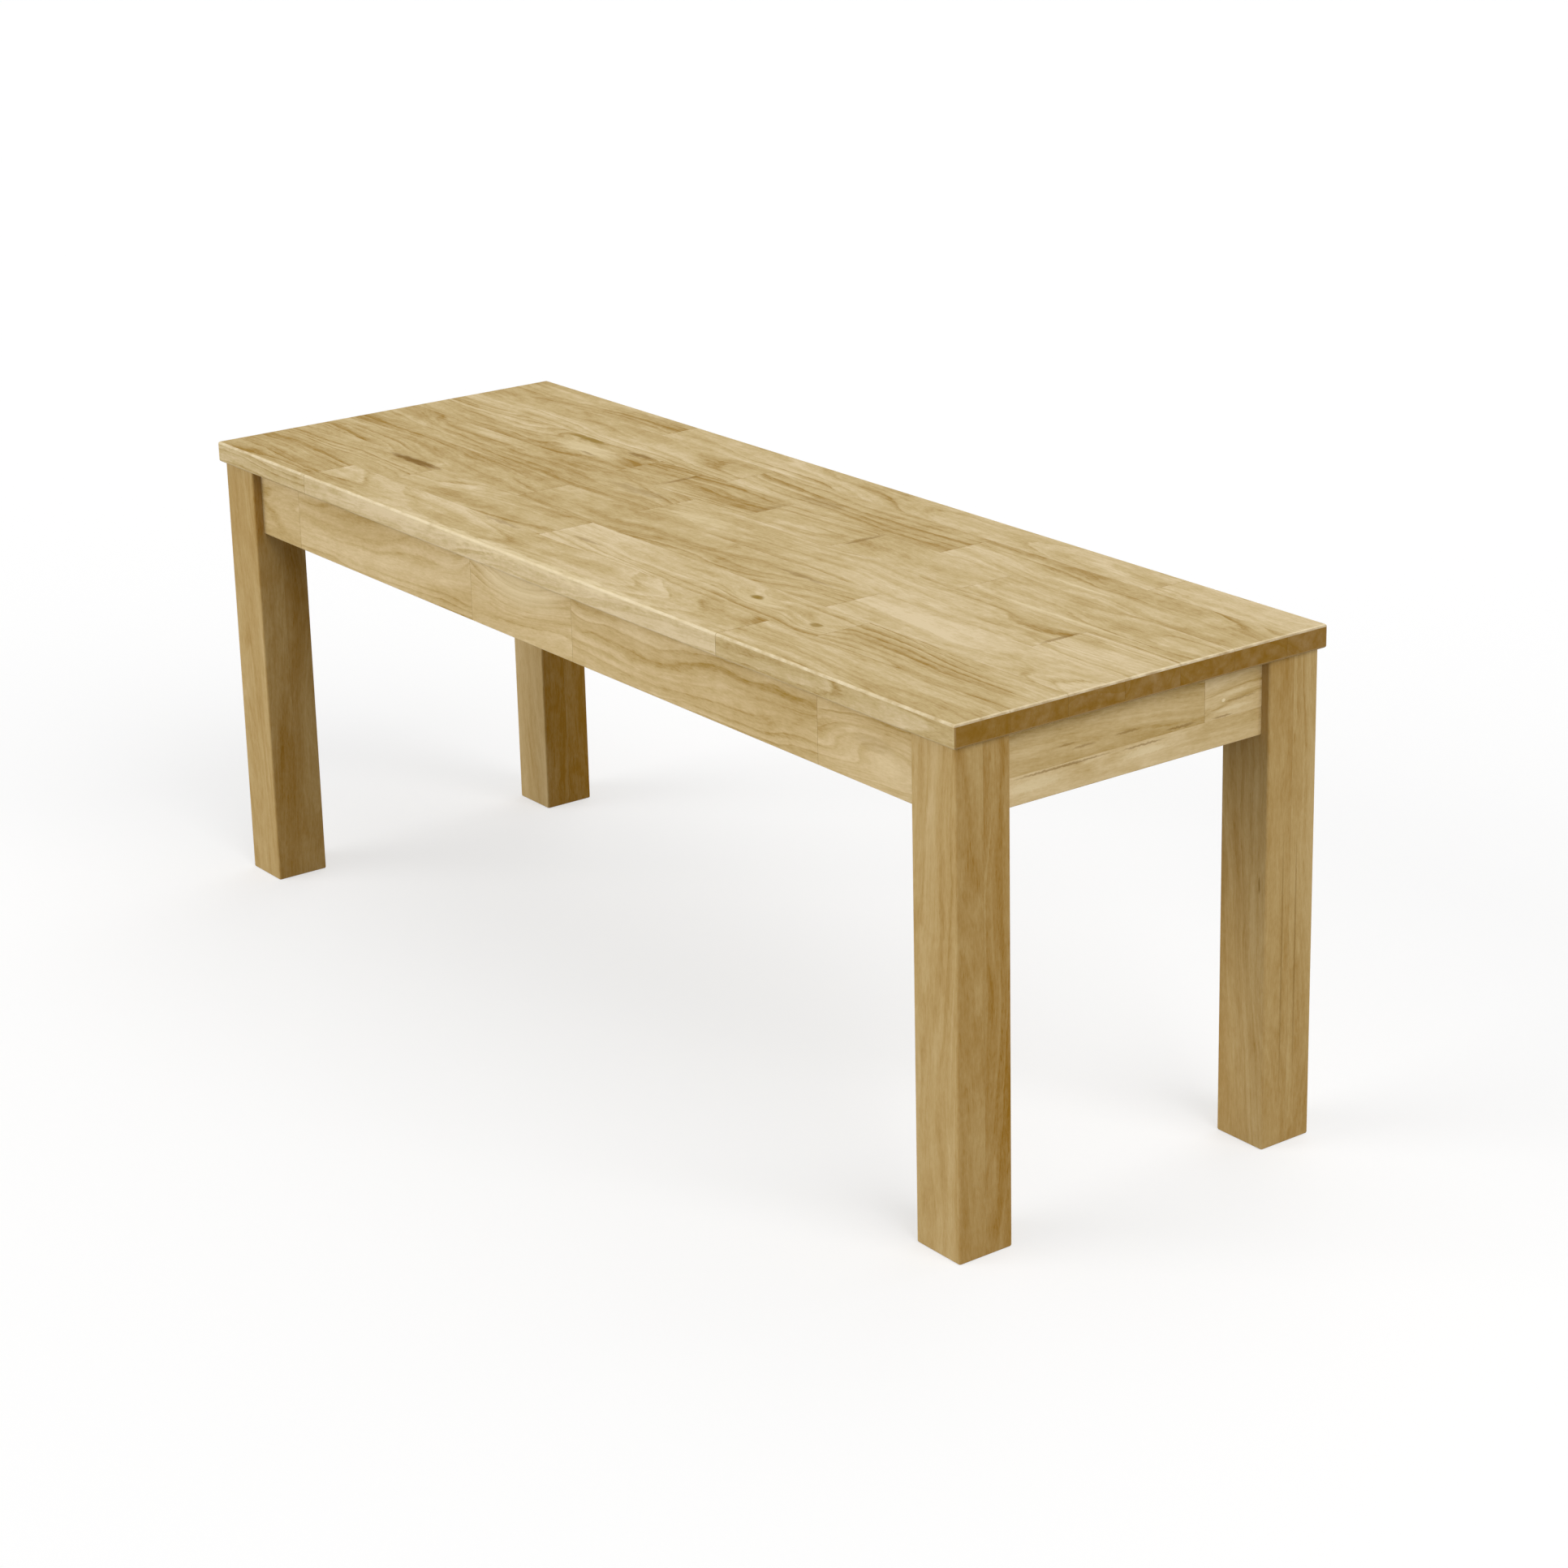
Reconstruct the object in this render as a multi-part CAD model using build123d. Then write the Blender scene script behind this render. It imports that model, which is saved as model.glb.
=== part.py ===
from build123d import *
import os

# A plain backless bench of solid wood, in millimetres.
# X runs along the bench, +Y is its rear, +Z is up. The origin is on the floor under the middle of the top.

# Overall sizes
bench_length = 1150
bench_depth = 390
bench_height = 450

# Top: rows of staves glued edge to edge, each row glued end to end
top_thickness = 20
top_edge_round = 2
front_row_width = 55
rear_row_width = 45
# End joints of each row as shares of the bench's length from its left end, front row first
top_joint_shares = (
    (0.15, 0.735),
    (0.209, 0.434, 0.787),
    (0.325, 0.735),
    (0.431, 0.904),
    (0.313, 0.371, 0.496, 0.61, 0.763),
    (0.403, 0.68),
    (0.24, 0.857),
)

# Legs: square posts glued up from a front and a rear lamination
leg_width = 54
top_overhang = 5
leg_edge_round = 2
foot_chamfer = 1.5
front_lamination_share = 0.5

# Aprons between the legs, set back from the legs' faces
apron_height = 65
apron_thickness = 20
apron_setback = 9
apron_edge_round = 1
front_apron_joint_shares = (0.072, 0.375, 0.534, 0.875)
rear_apron_joint_shares = (0.22, 0.52, 0.81)
lower_course_height = 24
right_apron_joint_share = 0.77
left_apron_joint_share = 0.31

# Tenons on the aprons' ends, in blind mortises in the legs
tenon_thickness = 8
tenon_shoulder = 10
tenon_wall = 3
mortise_end_room = 1

# Cross rail under the middle of the top, with a stub tenon into each long apron
bearer_thickness = 20
bearer_height = 40
bearer_tenon_thickness = 8
bearer_tenon_shoulder = 8
bearer_tenon_length = 10
bearer_tenon_room = 1
bearer_screw_share = 0.2

# Mitred corner blocks behind the legs
block_thickness = 25
block_height = 45
block_leg_gap = 1
block_screw_spacing = 22

# Wooden buttons that hold the top down and let it move across its width
button_width = 30
button_length = 28
button_thickness = 18
button_apron_gap = 1
tongue_length = 8
tongue_thickness = 8
slot_end_room = 1
slot_side_room = 1
slot_under_room = 0.5
long_button_share = 0.25

# Wood screws, one size throughout
screw_length = 25
screw_radius = 2
screw_head_radius = 4
screw_head_height = 2.5
screw_point_length = 5
screw_tip_radius = 0.4
screw_sides = 12
screw_hole_play = 0.05
screw_head_play = 0.4
pilot_end_room = 1
top_screw_bite = 12
apron_screw_bite = 14

# Planes that the pieces share
top_underside = bench_height - top_thickness
leg_face_x = bench_length / 2 - top_overhang
leg_face_y = bench_depth / 2 - top_overhang
leg_inside_x = leg_face_x - leg_width
leg_inside_y = leg_face_y - leg_width
apron_inside_x = leg_face_x - apron_setback - apron_thickness
apron_inside_y = leg_face_y - apron_setback - apron_thickness
apron_bottom = top_underside - apron_height
apron_heights = (apron_bottom, top_underside)
tenon_length = leg_width - apron_setback - (apron_thickness + tenon_thickness) / 2 - tenon_wall
block_bottom = top_underside - block_height
tenon_heights = (apron_bottom + tenon_shoulder, top_underside - tenon_shoulder)
bearer_tenon_heights = (
    top_underside - bearer_height + bearer_tenon_shoulder,
    top_underside - bearer_tenon_shoulder,
)
block_near = apron_inside_x - leg_inside_x + apron_inside_y - leg_inside_y + block_leg_gap * 2**0.5
block_reach = block_thickness * 2**0.5
block_screw_place = block_near + block_reach / 2
button_middle = (button_apron_gap + button_length) / 2


def box_between(x_range, y_range, z_range):
    """A box between a low and a high value on each axis."""
    ranges = (x_range, y_range, z_range)
    middle = [(low + high) / 2 for low, high in ranges]
    return Pos(*middle) * Box(*[high - low for low, high in ranges])


def cells(low, high, shares):
    """The stretches that joints at these shares leave between low and high."""
    places = [low, *[low + share * (high - low) for share in shares], high]
    return list(zip(places[:-1], places[1:]))


def to_corner(piece, side_x, side_y):
    """A piece modelled at the rear right corner, mirrored to the corner with these signs."""
    if side_x < 0:
        piece = mirror(piece, about=Plane.YZ)
    if side_y < 0:
        piece = mirror(piece, about=Plane.XZ)
    return piece


def bar(radius, low, high):
    """A many-sided bar along Z from low to high, as the screws and their holes are drawn."""
    return extrude(Pos(0, 0, low) * RegularPolygon(radius, screw_sides), high - low)


def screw():
    """A pan-head wood screw along +Z, with the seat of its head at the origin."""
    point_start = screw_length - screw_point_length
    head = bar(screw_head_radius, -screw_head_height, 0)
    shank = bar(screw_radius, 0, point_start)
    point = loft([
        Pos(0, 0, point_start) * RegularPolygon(screw_radius, screw_sides),
        Pos(0, 0, screw_length) * RegularPolygon(screw_tip_radius, screw_sides),
    ])
    return head + shank + point


def screw_hole(head_room):
    """The space a screw needs: its pilot hole, and a counterbore that reaches head_room behind its seat."""
    pilot = bar(screw_radius + screw_hole_play, 0, screw_length + pilot_end_room)
    counterbore = bar(screw_head_radius + screw_head_play, -head_room, 0)
    return pilot + counterbore


# Places of the screws: each seats its head at the origin of its frame and points along the frame's Z
top_screw_seat = top_underside + top_screw_bite - screw_length
block_screw_seat = screw_length - apron_screw_bite
screw_heights = [block_bottom + block_height / 2 + side * block_screw_spacing / 2 for side in (-1, 1)]
long_button_x = long_button_share * 2 * leg_inside_x
bearer_screw_y = bearer_screw_share * 2 * apron_inside_y


def corner_screw_places():
    """The four screws of the rear right corner block: two into the long apron, two into the end apron."""
    places = []
    for z in screw_heights:
        into_long = (apron_inside_x - block_screw_place, apron_inside_y - block_screw_seat, z)
        places.append(Location(Plane(origin=into_long, x_dir=(1, 0, 0), z_dir=(0, 1, 0))))
        into_end = (apron_inside_x - block_screw_seat, apron_inside_y - block_screw_place, z)
        places.append(Location(Plane(origin=into_end, x_dir=(0, 1, 0), z_dir=(1, 0, 0))))
    return places


def button_places():
    """Each button's name, its plan position on an apron's inside face, and its turn about Z."""
    places = {}
    for side_y, long_name, turn in ((-1, "front", 0), (1, "rear", 180)):
        for side_x, end_name in ((-1, "left"), (1, "right")):
            name = f"button_{long_name}_{end_name}"
            places[name] = (side_x * long_button_x, side_y * apron_inside_y, turn)
    places["button_left_end"] = (-apron_inside_x, 0, -90)
    places["button_right_end"] = (apron_inside_x, 0, 90)
    return places


def at_button(piece, place):
    """A piece modelled on the front apron's inside face at x 0 and height 0, moved to a button's place."""
    x, y, turn = place
    return Pos(x, y, top_underside) * Rot(0, 0, turn) * piece


def top_screw_places():
    """The frames of the screws that go up into the top: those of the buttons, then those of the bearer."""
    lift = Pos(0, button_middle, top_screw_seat - top_underside)
    at_buttons = [at_button(lift, place) for place in button_places().values()]
    at_bearer = [Location((0, side * bearer_screw_y, top_screw_seat)) for side in (-1, 1)]
    return at_buttons, at_bearer


def top_blank():
    """The whole glued-up top with its rounded arrises and its pilot holes."""
    blank = box_between(
        (-bench_length / 2, bench_length / 2),
        (-bench_depth / 2, bench_depth / 2),
        (top_underside, bench_height),
    )
    blank = fillet(blank.edges(), top_edge_round)
    at_buttons, at_bearer = top_screw_places()
    for place in at_buttons + at_bearer:
        blank -= place * screw_hole(screw_head_height)
    return blank


def top_staves():
    """Each stave of the top by name, cut from the glued-up blank, front row first."""
    inner_rows = len(top_joint_shares) - 2
    inner_width = (bench_depth - front_row_width - rear_row_width) / inner_rows
    widths = [front_row_width, *[inner_width] * inner_rows, rear_row_width]
    blank = top_blank()
    staves = {}
    row_start = -bench_depth / 2
    for row, (width, shares) in enumerate(zip(widths, top_joint_shares), start=1):
        for number, stretch in enumerate(cells(-bench_length / 2, bench_length / 2, shares), start=1):
            room = box_between(stretch, (row_start, row_start + width), (top_underside, bench_height))
            staves[f"top_row_{row}_stave_{number}"] = blank & room
        row_start += width
    return staves


def tenon_across(apron_inside):
    """Where a tenon starts and ends across the thickness of an apron with this inside face."""
    middle = apron_inside + apron_thickness / 2
    return middle - tenon_thickness / 2, middle + tenon_thickness / 2


def leg():
    """The rear right leg with its two mortises, as a front and a rear lamination."""
    post = box_between((leg_inside_x, leg_face_x), (leg_inside_y, leg_face_y), (0, top_underside))
    post = fillet(post.edges().filter_by(Axis.Z), leg_edge_round)
    post = chamfer(post.faces().sort_by(Axis.Z)[0].edges(), foot_chamfer)
    depth = tenon_length + mortise_end_room
    post -= box_between((leg_inside_x, leg_inside_x + depth), tenon_across(apron_inside_y), tenon_heights)
    post -= box_between(tenon_across(apron_inside_x), (leg_inside_y, leg_inside_y + depth), tenon_heights)
    glue_line = leg_inside_y + front_lamination_share * leg_width
    halves = []
    for y_range in ((leg_inside_y, glue_line), (glue_line, leg_face_y)):
        halves.append(post & box_between((leg_inside_x, leg_face_x), y_range, (0, top_underside)))
    return Compound(children=[half.solid() for half in halves])


def long_apron():
    """The rear apron before it is parted into staves: board, tenons, screw holes and slots."""
    y_range = (apron_inside_y, apron_inside_y + apron_thickness)
    board = box_between((-leg_inside_x, leg_inside_x), y_range, apron_heights)
    board = fillet(board.edges().filter_by(Axis.X).group_by(Axis.Z)[0], apron_edge_round)
    reach = leg_inside_x + tenon_length
    board += box_between((-reach, reach), tenon_across(apron_inside_y), tenon_heights)
    for side in (-1, 1):
        for place in corner_screw_places():
            board -= to_corner(place * screw_hole(screw_head_height), side, 1)
        board -= at_button(button_slot(), (side * long_button_x, apron_inside_y, 180))
    board -= box_between(
        (-bearer_tenon_thickness / 2, bearer_tenon_thickness / 2),
        (apron_inside_y, apron_inside_y + bearer_tenon_length + bearer_tenon_room),
        bearer_tenon_heights,
    )
    return board


def end_apron():
    """The right apron before it is parted into staves: board, tenons, screw holes and slot."""
    x_range = (apron_inside_x, apron_inside_x + apron_thickness)
    board = box_between(x_range, (-leg_inside_y, leg_inside_y), apron_heights)
    board = fillet(board.edges().filter_by(Axis.Y).group_by(Axis.Z)[0], apron_edge_round)
    reach = leg_inside_y + tenon_length
    board += box_between(tenon_across(apron_inside_x), (-reach, reach), tenon_heights)
    for side in (-1, 1):
        for place in corner_screw_places():
            board -= to_corner(place * screw_hole(screw_head_height), 1, side)
    board -= at_button(button_slot(), button_places()["button_right_end"])
    return board


def long_apron_staves(name, shares, side):
    """The staves of a long apron by name, from its left end, for the rear (1) or the front (-1)."""
    board = to_corner(long_apron(), 1, side)
    y_range = sorted((side * apron_inside_y, side * (apron_inside_y + apron_thickness)))
    joints = cells(-leg_inside_x, leg_inside_x, shares)
    reach = leg_inside_x + tenon_length
    joints[0] = (-reach, joints[0][1])
    joints[-1] = (joints[-1][0], reach)
    staves = {}
    for number, stretch in enumerate(joints, start=1):
        staves[f"{name}_stave_{number}"] = board & box_between(stretch, y_range, apron_heights)
    return staves


def end_apron_staves(name, joint_share, side):
    """The staves of the right (1) or left (-1) end apron by name: two upper ones on a lower one."""
    board = to_corner(end_apron(), side, 1)
    x_range = sorted((side * apron_inside_x, side * (apron_inside_x + apron_thickness)))
    reach = leg_inside_y + tenon_length
    course = apron_bottom + lower_course_height
    joint = leg_inside_y * (2 * joint_share - 1)
    rooms = {
        "lower_stave": ((-reach, reach), (apron_bottom, course)),
        "upper_stave_front": ((-reach, joint), (course, top_underside)),
        "upper_stave_rear": ((joint, reach), (course, top_underside)),
    }
    return {f"{name}_{part}": board & box_between(x_range, *room) for part, room in rooms.items()}


def seat_bearer():
    """The cross rail under the middle of the top, with its stub tenons and counterbored screw holes."""
    half = bearer_thickness / 2
    z_range = (top_underside - bearer_height, top_underside)
    rail = box_between((-half, half), (-apron_inside_y, apron_inside_y), z_range)
    reach = apron_inside_y + bearer_tenon_length
    half_tenon = bearer_tenon_thickness / 2
    rail += box_between((-half_tenon, half_tenon), (-reach, reach), bearer_tenon_heights)
    for place in top_screw_places()[1]:
        rail -= place * screw_hole(bearer_height)
    return rail


def corner_block():
    """The block behind the rear right leg: a length of timber mitred to both aprons, with its screw holes."""
    far = block_near + block_reach
    plan = Polyline(
        (apron_inside_x - block_near, apron_inside_y),
        (apron_inside_x - far, apron_inside_y),
        (apron_inside_x, apron_inside_y - far),
        (apron_inside_x, apron_inside_y - block_near),
        close=True,
    )
    block = extrude(Pos(0, 0, block_bottom) * make_face(plan), block_height)
    for place in corner_screw_places():
        block -= place * screw_hole(block_reach)
    return block


def button():
    """A button on the front apron's inside face: a stepped profile with its tongue in the apron's slot."""
    profile = Polyline(
        (button_length, 0),
        (button_apron_gap, 0),
        (button_apron_gap, tongue_thickness - button_thickness),
        (-tongue_length, tongue_thickness - button_thickness),
        (-tongue_length, -button_thickness),
        (button_length, -button_thickness),
        close=True,
    )
    body = extrude(Plane.YZ * make_face(profile), button_width / 2, both=True)
    return body - Pos(0, button_middle, top_screw_seat - top_underside) * screw_hole(button_thickness)


def button_slot():
    """The slot in an apron's inside face for a button's tongue, which bears on the slot's upper side."""
    half = button_width / 2 + slot_side_room
    return box_between(
        (-half, half),
        (-tongue_length - slot_end_room, 0),
        (-button_thickness - slot_under_room, tongue_thickness - button_thickness),
    )


def screw_groups():
    """The screws by where they go, each group a set of separate solids."""
    corners = [(side_x, side_y) for side_x in (-1, 1) for side_y in (-1, 1)]
    in_blocks = [to_corner(place * screw(), *corner) for corner in corners for place in corner_screw_places()]
    at_buttons, at_bearer = top_screw_places()
    groups = {
        "corner_block_screws": in_blocks,
        "button_screws": [place * screw() for place in at_buttons],
        "seat_bearer_screws": [place * screw() for place in at_bearer],
    }
    return {name: Compound(children=[one.solid() for one in screws]) for name, screws in groups.items()}


def bench():
    """Every piece of the bench by name."""
    pieces = top_staves()
    for side_y, long_name in ((-1, "front"), (1, "rear")):
        for side_x, end_name in ((-1, "left"), (1, "right")):
            pieces[f"leg_{long_name}_{end_name}"] = to_corner(leg(), side_x, side_y)
            pieces[f"corner_block_{long_name}_{end_name}"] = to_corner(corner_block(), side_x, side_y)
    pieces |= long_apron_staves("apron_front", front_apron_joint_shares, -1)
    pieces |= long_apron_staves("apron_rear", rear_apron_joint_shares, 1)
    pieces |= end_apron_staves("apron_right", right_apron_joint_share, 1)
    pieces |= end_apron_staves("apron_left", left_apron_joint_share, -1)
    pieces["seat_bearer"] = seat_bearer()
    for name, place in button_places().items():
        pieces[name] = at_button(button(), place)
    return pieces | screw_groups()


os.makedirs("parts", exist_ok=True)
for name, piece in bench().items():
    export_step(piece, f"parts/{name}.step")
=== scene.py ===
"""The looks of a plain backless bench of clear-oiled oak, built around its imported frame.

The top is glued up from short staves, four square laminated legs carry it, and the low aprons set back
between the legs are parted into staves too. Everything is in metres: X runs along the bench, +Y is its rear
and +Z is up.
"""

import logging
import math
import random
from collections.abc import Callable, Iterable
from dataclasses import dataclass
from enum import Enum

import bpy
from mathutils import Matrix, Vector

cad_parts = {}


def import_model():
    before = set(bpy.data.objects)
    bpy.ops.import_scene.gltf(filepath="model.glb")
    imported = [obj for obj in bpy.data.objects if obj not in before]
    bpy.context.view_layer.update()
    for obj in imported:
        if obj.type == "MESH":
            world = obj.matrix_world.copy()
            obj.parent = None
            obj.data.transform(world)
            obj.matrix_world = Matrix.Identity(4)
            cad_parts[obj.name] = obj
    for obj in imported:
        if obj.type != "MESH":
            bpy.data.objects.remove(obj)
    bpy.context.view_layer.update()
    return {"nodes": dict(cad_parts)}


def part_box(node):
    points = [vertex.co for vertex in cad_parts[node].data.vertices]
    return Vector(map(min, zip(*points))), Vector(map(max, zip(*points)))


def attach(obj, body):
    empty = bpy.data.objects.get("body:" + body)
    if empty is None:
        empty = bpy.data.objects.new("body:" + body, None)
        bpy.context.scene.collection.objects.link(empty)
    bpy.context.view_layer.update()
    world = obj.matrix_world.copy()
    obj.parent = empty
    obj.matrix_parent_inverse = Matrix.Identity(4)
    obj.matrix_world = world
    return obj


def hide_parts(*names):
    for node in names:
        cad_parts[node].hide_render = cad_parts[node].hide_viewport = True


log = logging.getLogger("bench")

ROOT = "root"
X, Y, Z = range(3)
UP = Vector((0.0, 0.0, 1.0)).freeze()
MM = 0.001
NEAR = 0.02 * MM
# How far a cut or an added piece runs past the face that it starts at.
OVERRUN = 1.0 * MM

GRAIN = "grain"
# Each face's tone, with painted shade and light on faces turned to +X and to the front.
TONE_AND_SHADING = "tone"
ARRIS = "arris"
SEAM = "seam"
END_GRAIN = "end_grain"

# How near to an axis the normal of a flat face is.
FLAT_NORMAL = 0.999
# How near to the fibres the normal of end grain is.
END_NORMAL = 0.7
# How far up an arris must face to take the full painted highlight.
UPWARD_NORMAL = 0.1

Triple = tuple[float, float, float]
Stop = tuple[float, float]
Plane = tuple[int, float]
Planes = tuple[Plane, ...]
Box = tuple[Vector, Vector]
# The middle of the seat of a screw's head, and the unit direction that the screw points in.
Seat = tuple[Vector, Vector]
EdgeTest = Callable[[list[Vector]], bool]
Socket = bpy.types.NodeSocket


class Shade(Enum):
    """How pale or dark a board is against the others of its kind."""

    PALE = 0.85
    LIGHT = 0.4
    MIDDLE = 0.0
    DEEP = -0.45
    DARK = -0.9


class Lie(Enum):
    """The way that a board's fibres run."""

    ALONG = (1.0, 0.0, 0.0)
    ACROSS = (0.0, 1.0, 0.0)
    UPRIGHT = (0.0, 0.0, 1.0)
    RISING = (0.7071, 0.7071, 0.0)
    FALLING = (0.7071, -0.7071, 0.0)


class Joinery(Enum):
    """What is done with a tool: it is cut out of a piece, or added to it."""

    CUT = "DIFFERENCE"
    ADD = "UNION"


# The colours of bark and open joints, of knots, and of pale bands.
UMBER = (0.19, 0.095, 0.008)
KNOT = (0.26, 0.155, 0.01)
CREAM = (0.8, 0.67, 0.42)

# A yearly ring, from its porous start to its smooth end.
RING_LINE = ((0.0, 1.0), (0.09, 0.7), (0.35, 0.25), (0.7, 0.05), (0.88, 0.0), (1.0, 1.0))
# How clearly a stretch of rings shows.
RING_SHOW = ((0.38, 0.05), (0.64, 1.0))
# How noise turns into short dashes.
PORE_DASH = ((0.0, 0.0), (0.55, 0.0), (0.68, 1.0), (1.0, 1.0))
# How the painted highlight of an arris comes and goes.
ARRIS_HIGHLIGHT_BREAKS = ((0.3, 0.2), (0.7, 1.0))
# How a mark fades from its middle to its rim.
MARK_FADE = ((0.0, 1.0), (0.6, 0.85), (1.0, 0.0))
# What three-part noise swings about.
NOISE_MIDDLE = (0.5, 0.5, 0.5)


@dataclass(frozen=True)
class Mark:
    """A mark in one face of the bench: a knot, a streak of bark, a pale fleck or an open end joint.

    Its place and half sizes are measured in the bench's own coordinates. Across an axis with a half size of
    zero it goes right through. The depth is how much of its colour shows, ragged how far its outline
    wanders, and swirl how far the growth rings give way to it, out to swirl_reach times its half sizes.
    """

    place: Triple
    half: Triple
    depth: float
    colour: Triple = UMBER
    ragged: float = 0.0
    swirl: float = 0.0
    swirl_reach: float = 3.0


@dataclass(frozen=True)
class Pattern:
    """A noise pattern: its cells per metre on each axis, its octaves, and how strong the finer ones are."""

    cells: Triple
    octaves: float
    rough: float = 0.5


class Net:
    """Short words for building a node tree."""

    # Where the Mix node has its sockets for colours.
    MIX_SHARE, MIX_UNDER, MIX_OVER, MIX_RESULT = 0, 6, 7, 2

    def __init__(self, tree: bpy.types.NodeTree) -> None:
        """Keeps the node tree of a new material or world."""
        self.tree = tree

    @property
    def shader(self) -> bpy.types.Node:
        """The material's main shader."""
        return self.tree.nodes["Principled BSDF"]

    def add(self, kind: str) -> bpy.types.Node:
        """Adds a node of this kind."""
        return self.tree.nodes.new(kind)

    def link(self, source: Socket, target: Socket) -> None:
        """Joins two sockets."""
        self.tree.links.new(source, target)

    def feed(self, targets: Iterable[Socket], values: Iterable[object]) -> None:
        """Gives each input a number, a vector or another node's output.

        Args:
            targets: The inputs.
            values: A socket, a number or a tuple for each.
        """
        for target, value in zip(targets, values):
            if isinstance(value, Socket):
                self.link(value, target)
            else:
                target.default_value = value

    def attribute(self, name: str, output: str = "Fac") -> Socket:
        """Reads an attribute of the mesh.

        Args:
            name: The attribute.
            output: "Fac" for a number, "Vector" for three.

        Returns:
            Its value.
        """
        node = self.add("ShaderNodeAttribute")
        node.attribute_name = name
        return node.outputs[output]

    def object_place(self) -> Socket:
        """The place of a point in the bench's own coordinates."""
        return self.add("ShaderNodeTexCoord").outputs["Object"]

    def math(self, operation: str, *values: object) -> Socket:
        """A sum on numbers.

        Args:
            operation: The Math node's word for it.
            *values: What it takes.

        Returns:
            The result.
        """
        node = self.add("ShaderNodeMath")
        node.operation = operation
        self.feed(node.inputs, values)
        return node.outputs["Value"]

    def vector(self, operation: str, *values: object, output: str = "Vector") -> Socket:
        """A sum on vectors.

        Args:
            operation: The Vector Math node's word for it.
            *values: What it takes.
            output: "Value" where the result is a number.

        Returns:
            The result.
        """
        node = self.add("ShaderNodeVectorMath")
        node.operation = operation
        self.feed(node.inputs, values)
        return node.outputs[output]

    def parts(self, place: Socket) -> tuple[Socket, Socket, Socket]:
        """The three numbers of a vector.

        Args:
            place: The vector.

        Returns:
            Its X, Y and Z.
        """
        node = self.add("ShaderNodeSeparateXYZ")
        self.link(place, node.inputs["Vector"])
        return node.outputs["X"], node.outputs["Y"], node.outputs["Z"]

    def joined(self, *numbers: object) -> Socket:
        """A vector from three numbers.

        Args:
            *numbers: Its X, Y and Z.

        Returns:
            The vector.
        """
        node = self.add("ShaderNodeCombineXYZ")
        self.feed(node.inputs, numbers)
        return node.outputs["Vector"]

    def noise(self, place: Socket, pattern: Pattern, output: str = "Fac") -> Socket:
        """Noise about a half.

        Args:
            place: Where it is read.
            pattern: Its pattern.
            output: "Fac" for a number, "Color" for three.

        Returns:
            The noise.
        """
        node = self.add("ShaderNodeTexNoise")
        node.inputs["Scale"].default_value = 1.0
        node.inputs["Detail"].default_value = pattern.octaves
        node.inputs["Roughness"].default_value = pattern.rough
        self.link(self.vector("MULTIPLY", place, pattern.cells), node.inputs["Vector"])
        return node.outputs[output]

    def swing(self, value: Socket, depth: float) -> Socket:
        """A number about a half, moved to swing about zero by a depth."""
        return self.math("MULTIPLY_ADD", value, depth, -depth / 2)

    def sway(self, value: Socket, breadth: float) -> Socket:
        """Three numbers about a half, moved to swing about zero by a breadth across the fibres alone."""
        return self.vector("MULTIPLY_ADD", value, (0.0, breadth, breadth), (0.0, -breadth / 2, -breadth / 2))

    def colours(self, value: Socket, *stops: tuple[float, Triple]) -> Socket:
        """A colour read off a ramp.

        Args:
            value: The number to look up.
            *stops: Each place on the ramp with its colour.

        Returns:
            The colour at the place.
        """
        node = self.add("ShaderNodeValToRGB")
        marks = node.color_ramp.elements
        while len(marks) < len(stops):
            marks.new(1.0)
        for mark, (place, colour) in zip(marks, stops):
            mark.position = place
            mark.color = (*colour, 1.0)
        self.link(value, node.inputs["Fac"])
        return node.outputs["Color"]

    def ramp(self, value: Socket, stops: tuple[Stop, ...], depth: float = 1.0) -> Socket:
        """A number read off a ramp of greys, each times a depth."""
        return self.colours(value, *((place, (grey * depth,) * 3) for place, grey in stops))

    def blend(self, share: object, under: object, over: Triple) -> Socket:
        """A colour laid over another.

        Args:
            share: How much of the upper colour shows.
            under: The lower colour.
            over: The upper colour.

        Returns:
            The blended colour.
        """
        node = self.add("ShaderNodeMix")
        node.data_type = "RGBA"
        targets = (node.inputs[self.MIX_SHARE], node.inputs[self.MIX_UNDER], node.inputs[self.MIX_OVER])
        self.feed(targets, (share, under, (*over, 1.0)))
        return node.outputs[self.MIX_RESULT]

    def relief(self, height: Socket, strength: float, distance: float) -> None:
        """Gives the main shader a bump.

        Args:
            height: The height.
            strength: How much of it shows.
            distance: How far a height of one rises.
        """
        bump = self.add("ShaderNodeBump")
        bump.inputs["Strength"].default_value = strength
        bump.inputs["Distance"].default_value = distance
        self.link(height, bump.inputs["Height"])
        self.link(bump.outputs["Normal"], self.shader.inputs["Normal"])


def new_material(name: str) -> tuple[bpy.types.Material, Net]:
    """A new material and its net.

    Args:
        name: The material's name.

    Returns:
        Both.
    """
    made = bpy.data.materials.new(name)
    made.use_nodes = True
    return made, Net(made.node_tree)


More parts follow.
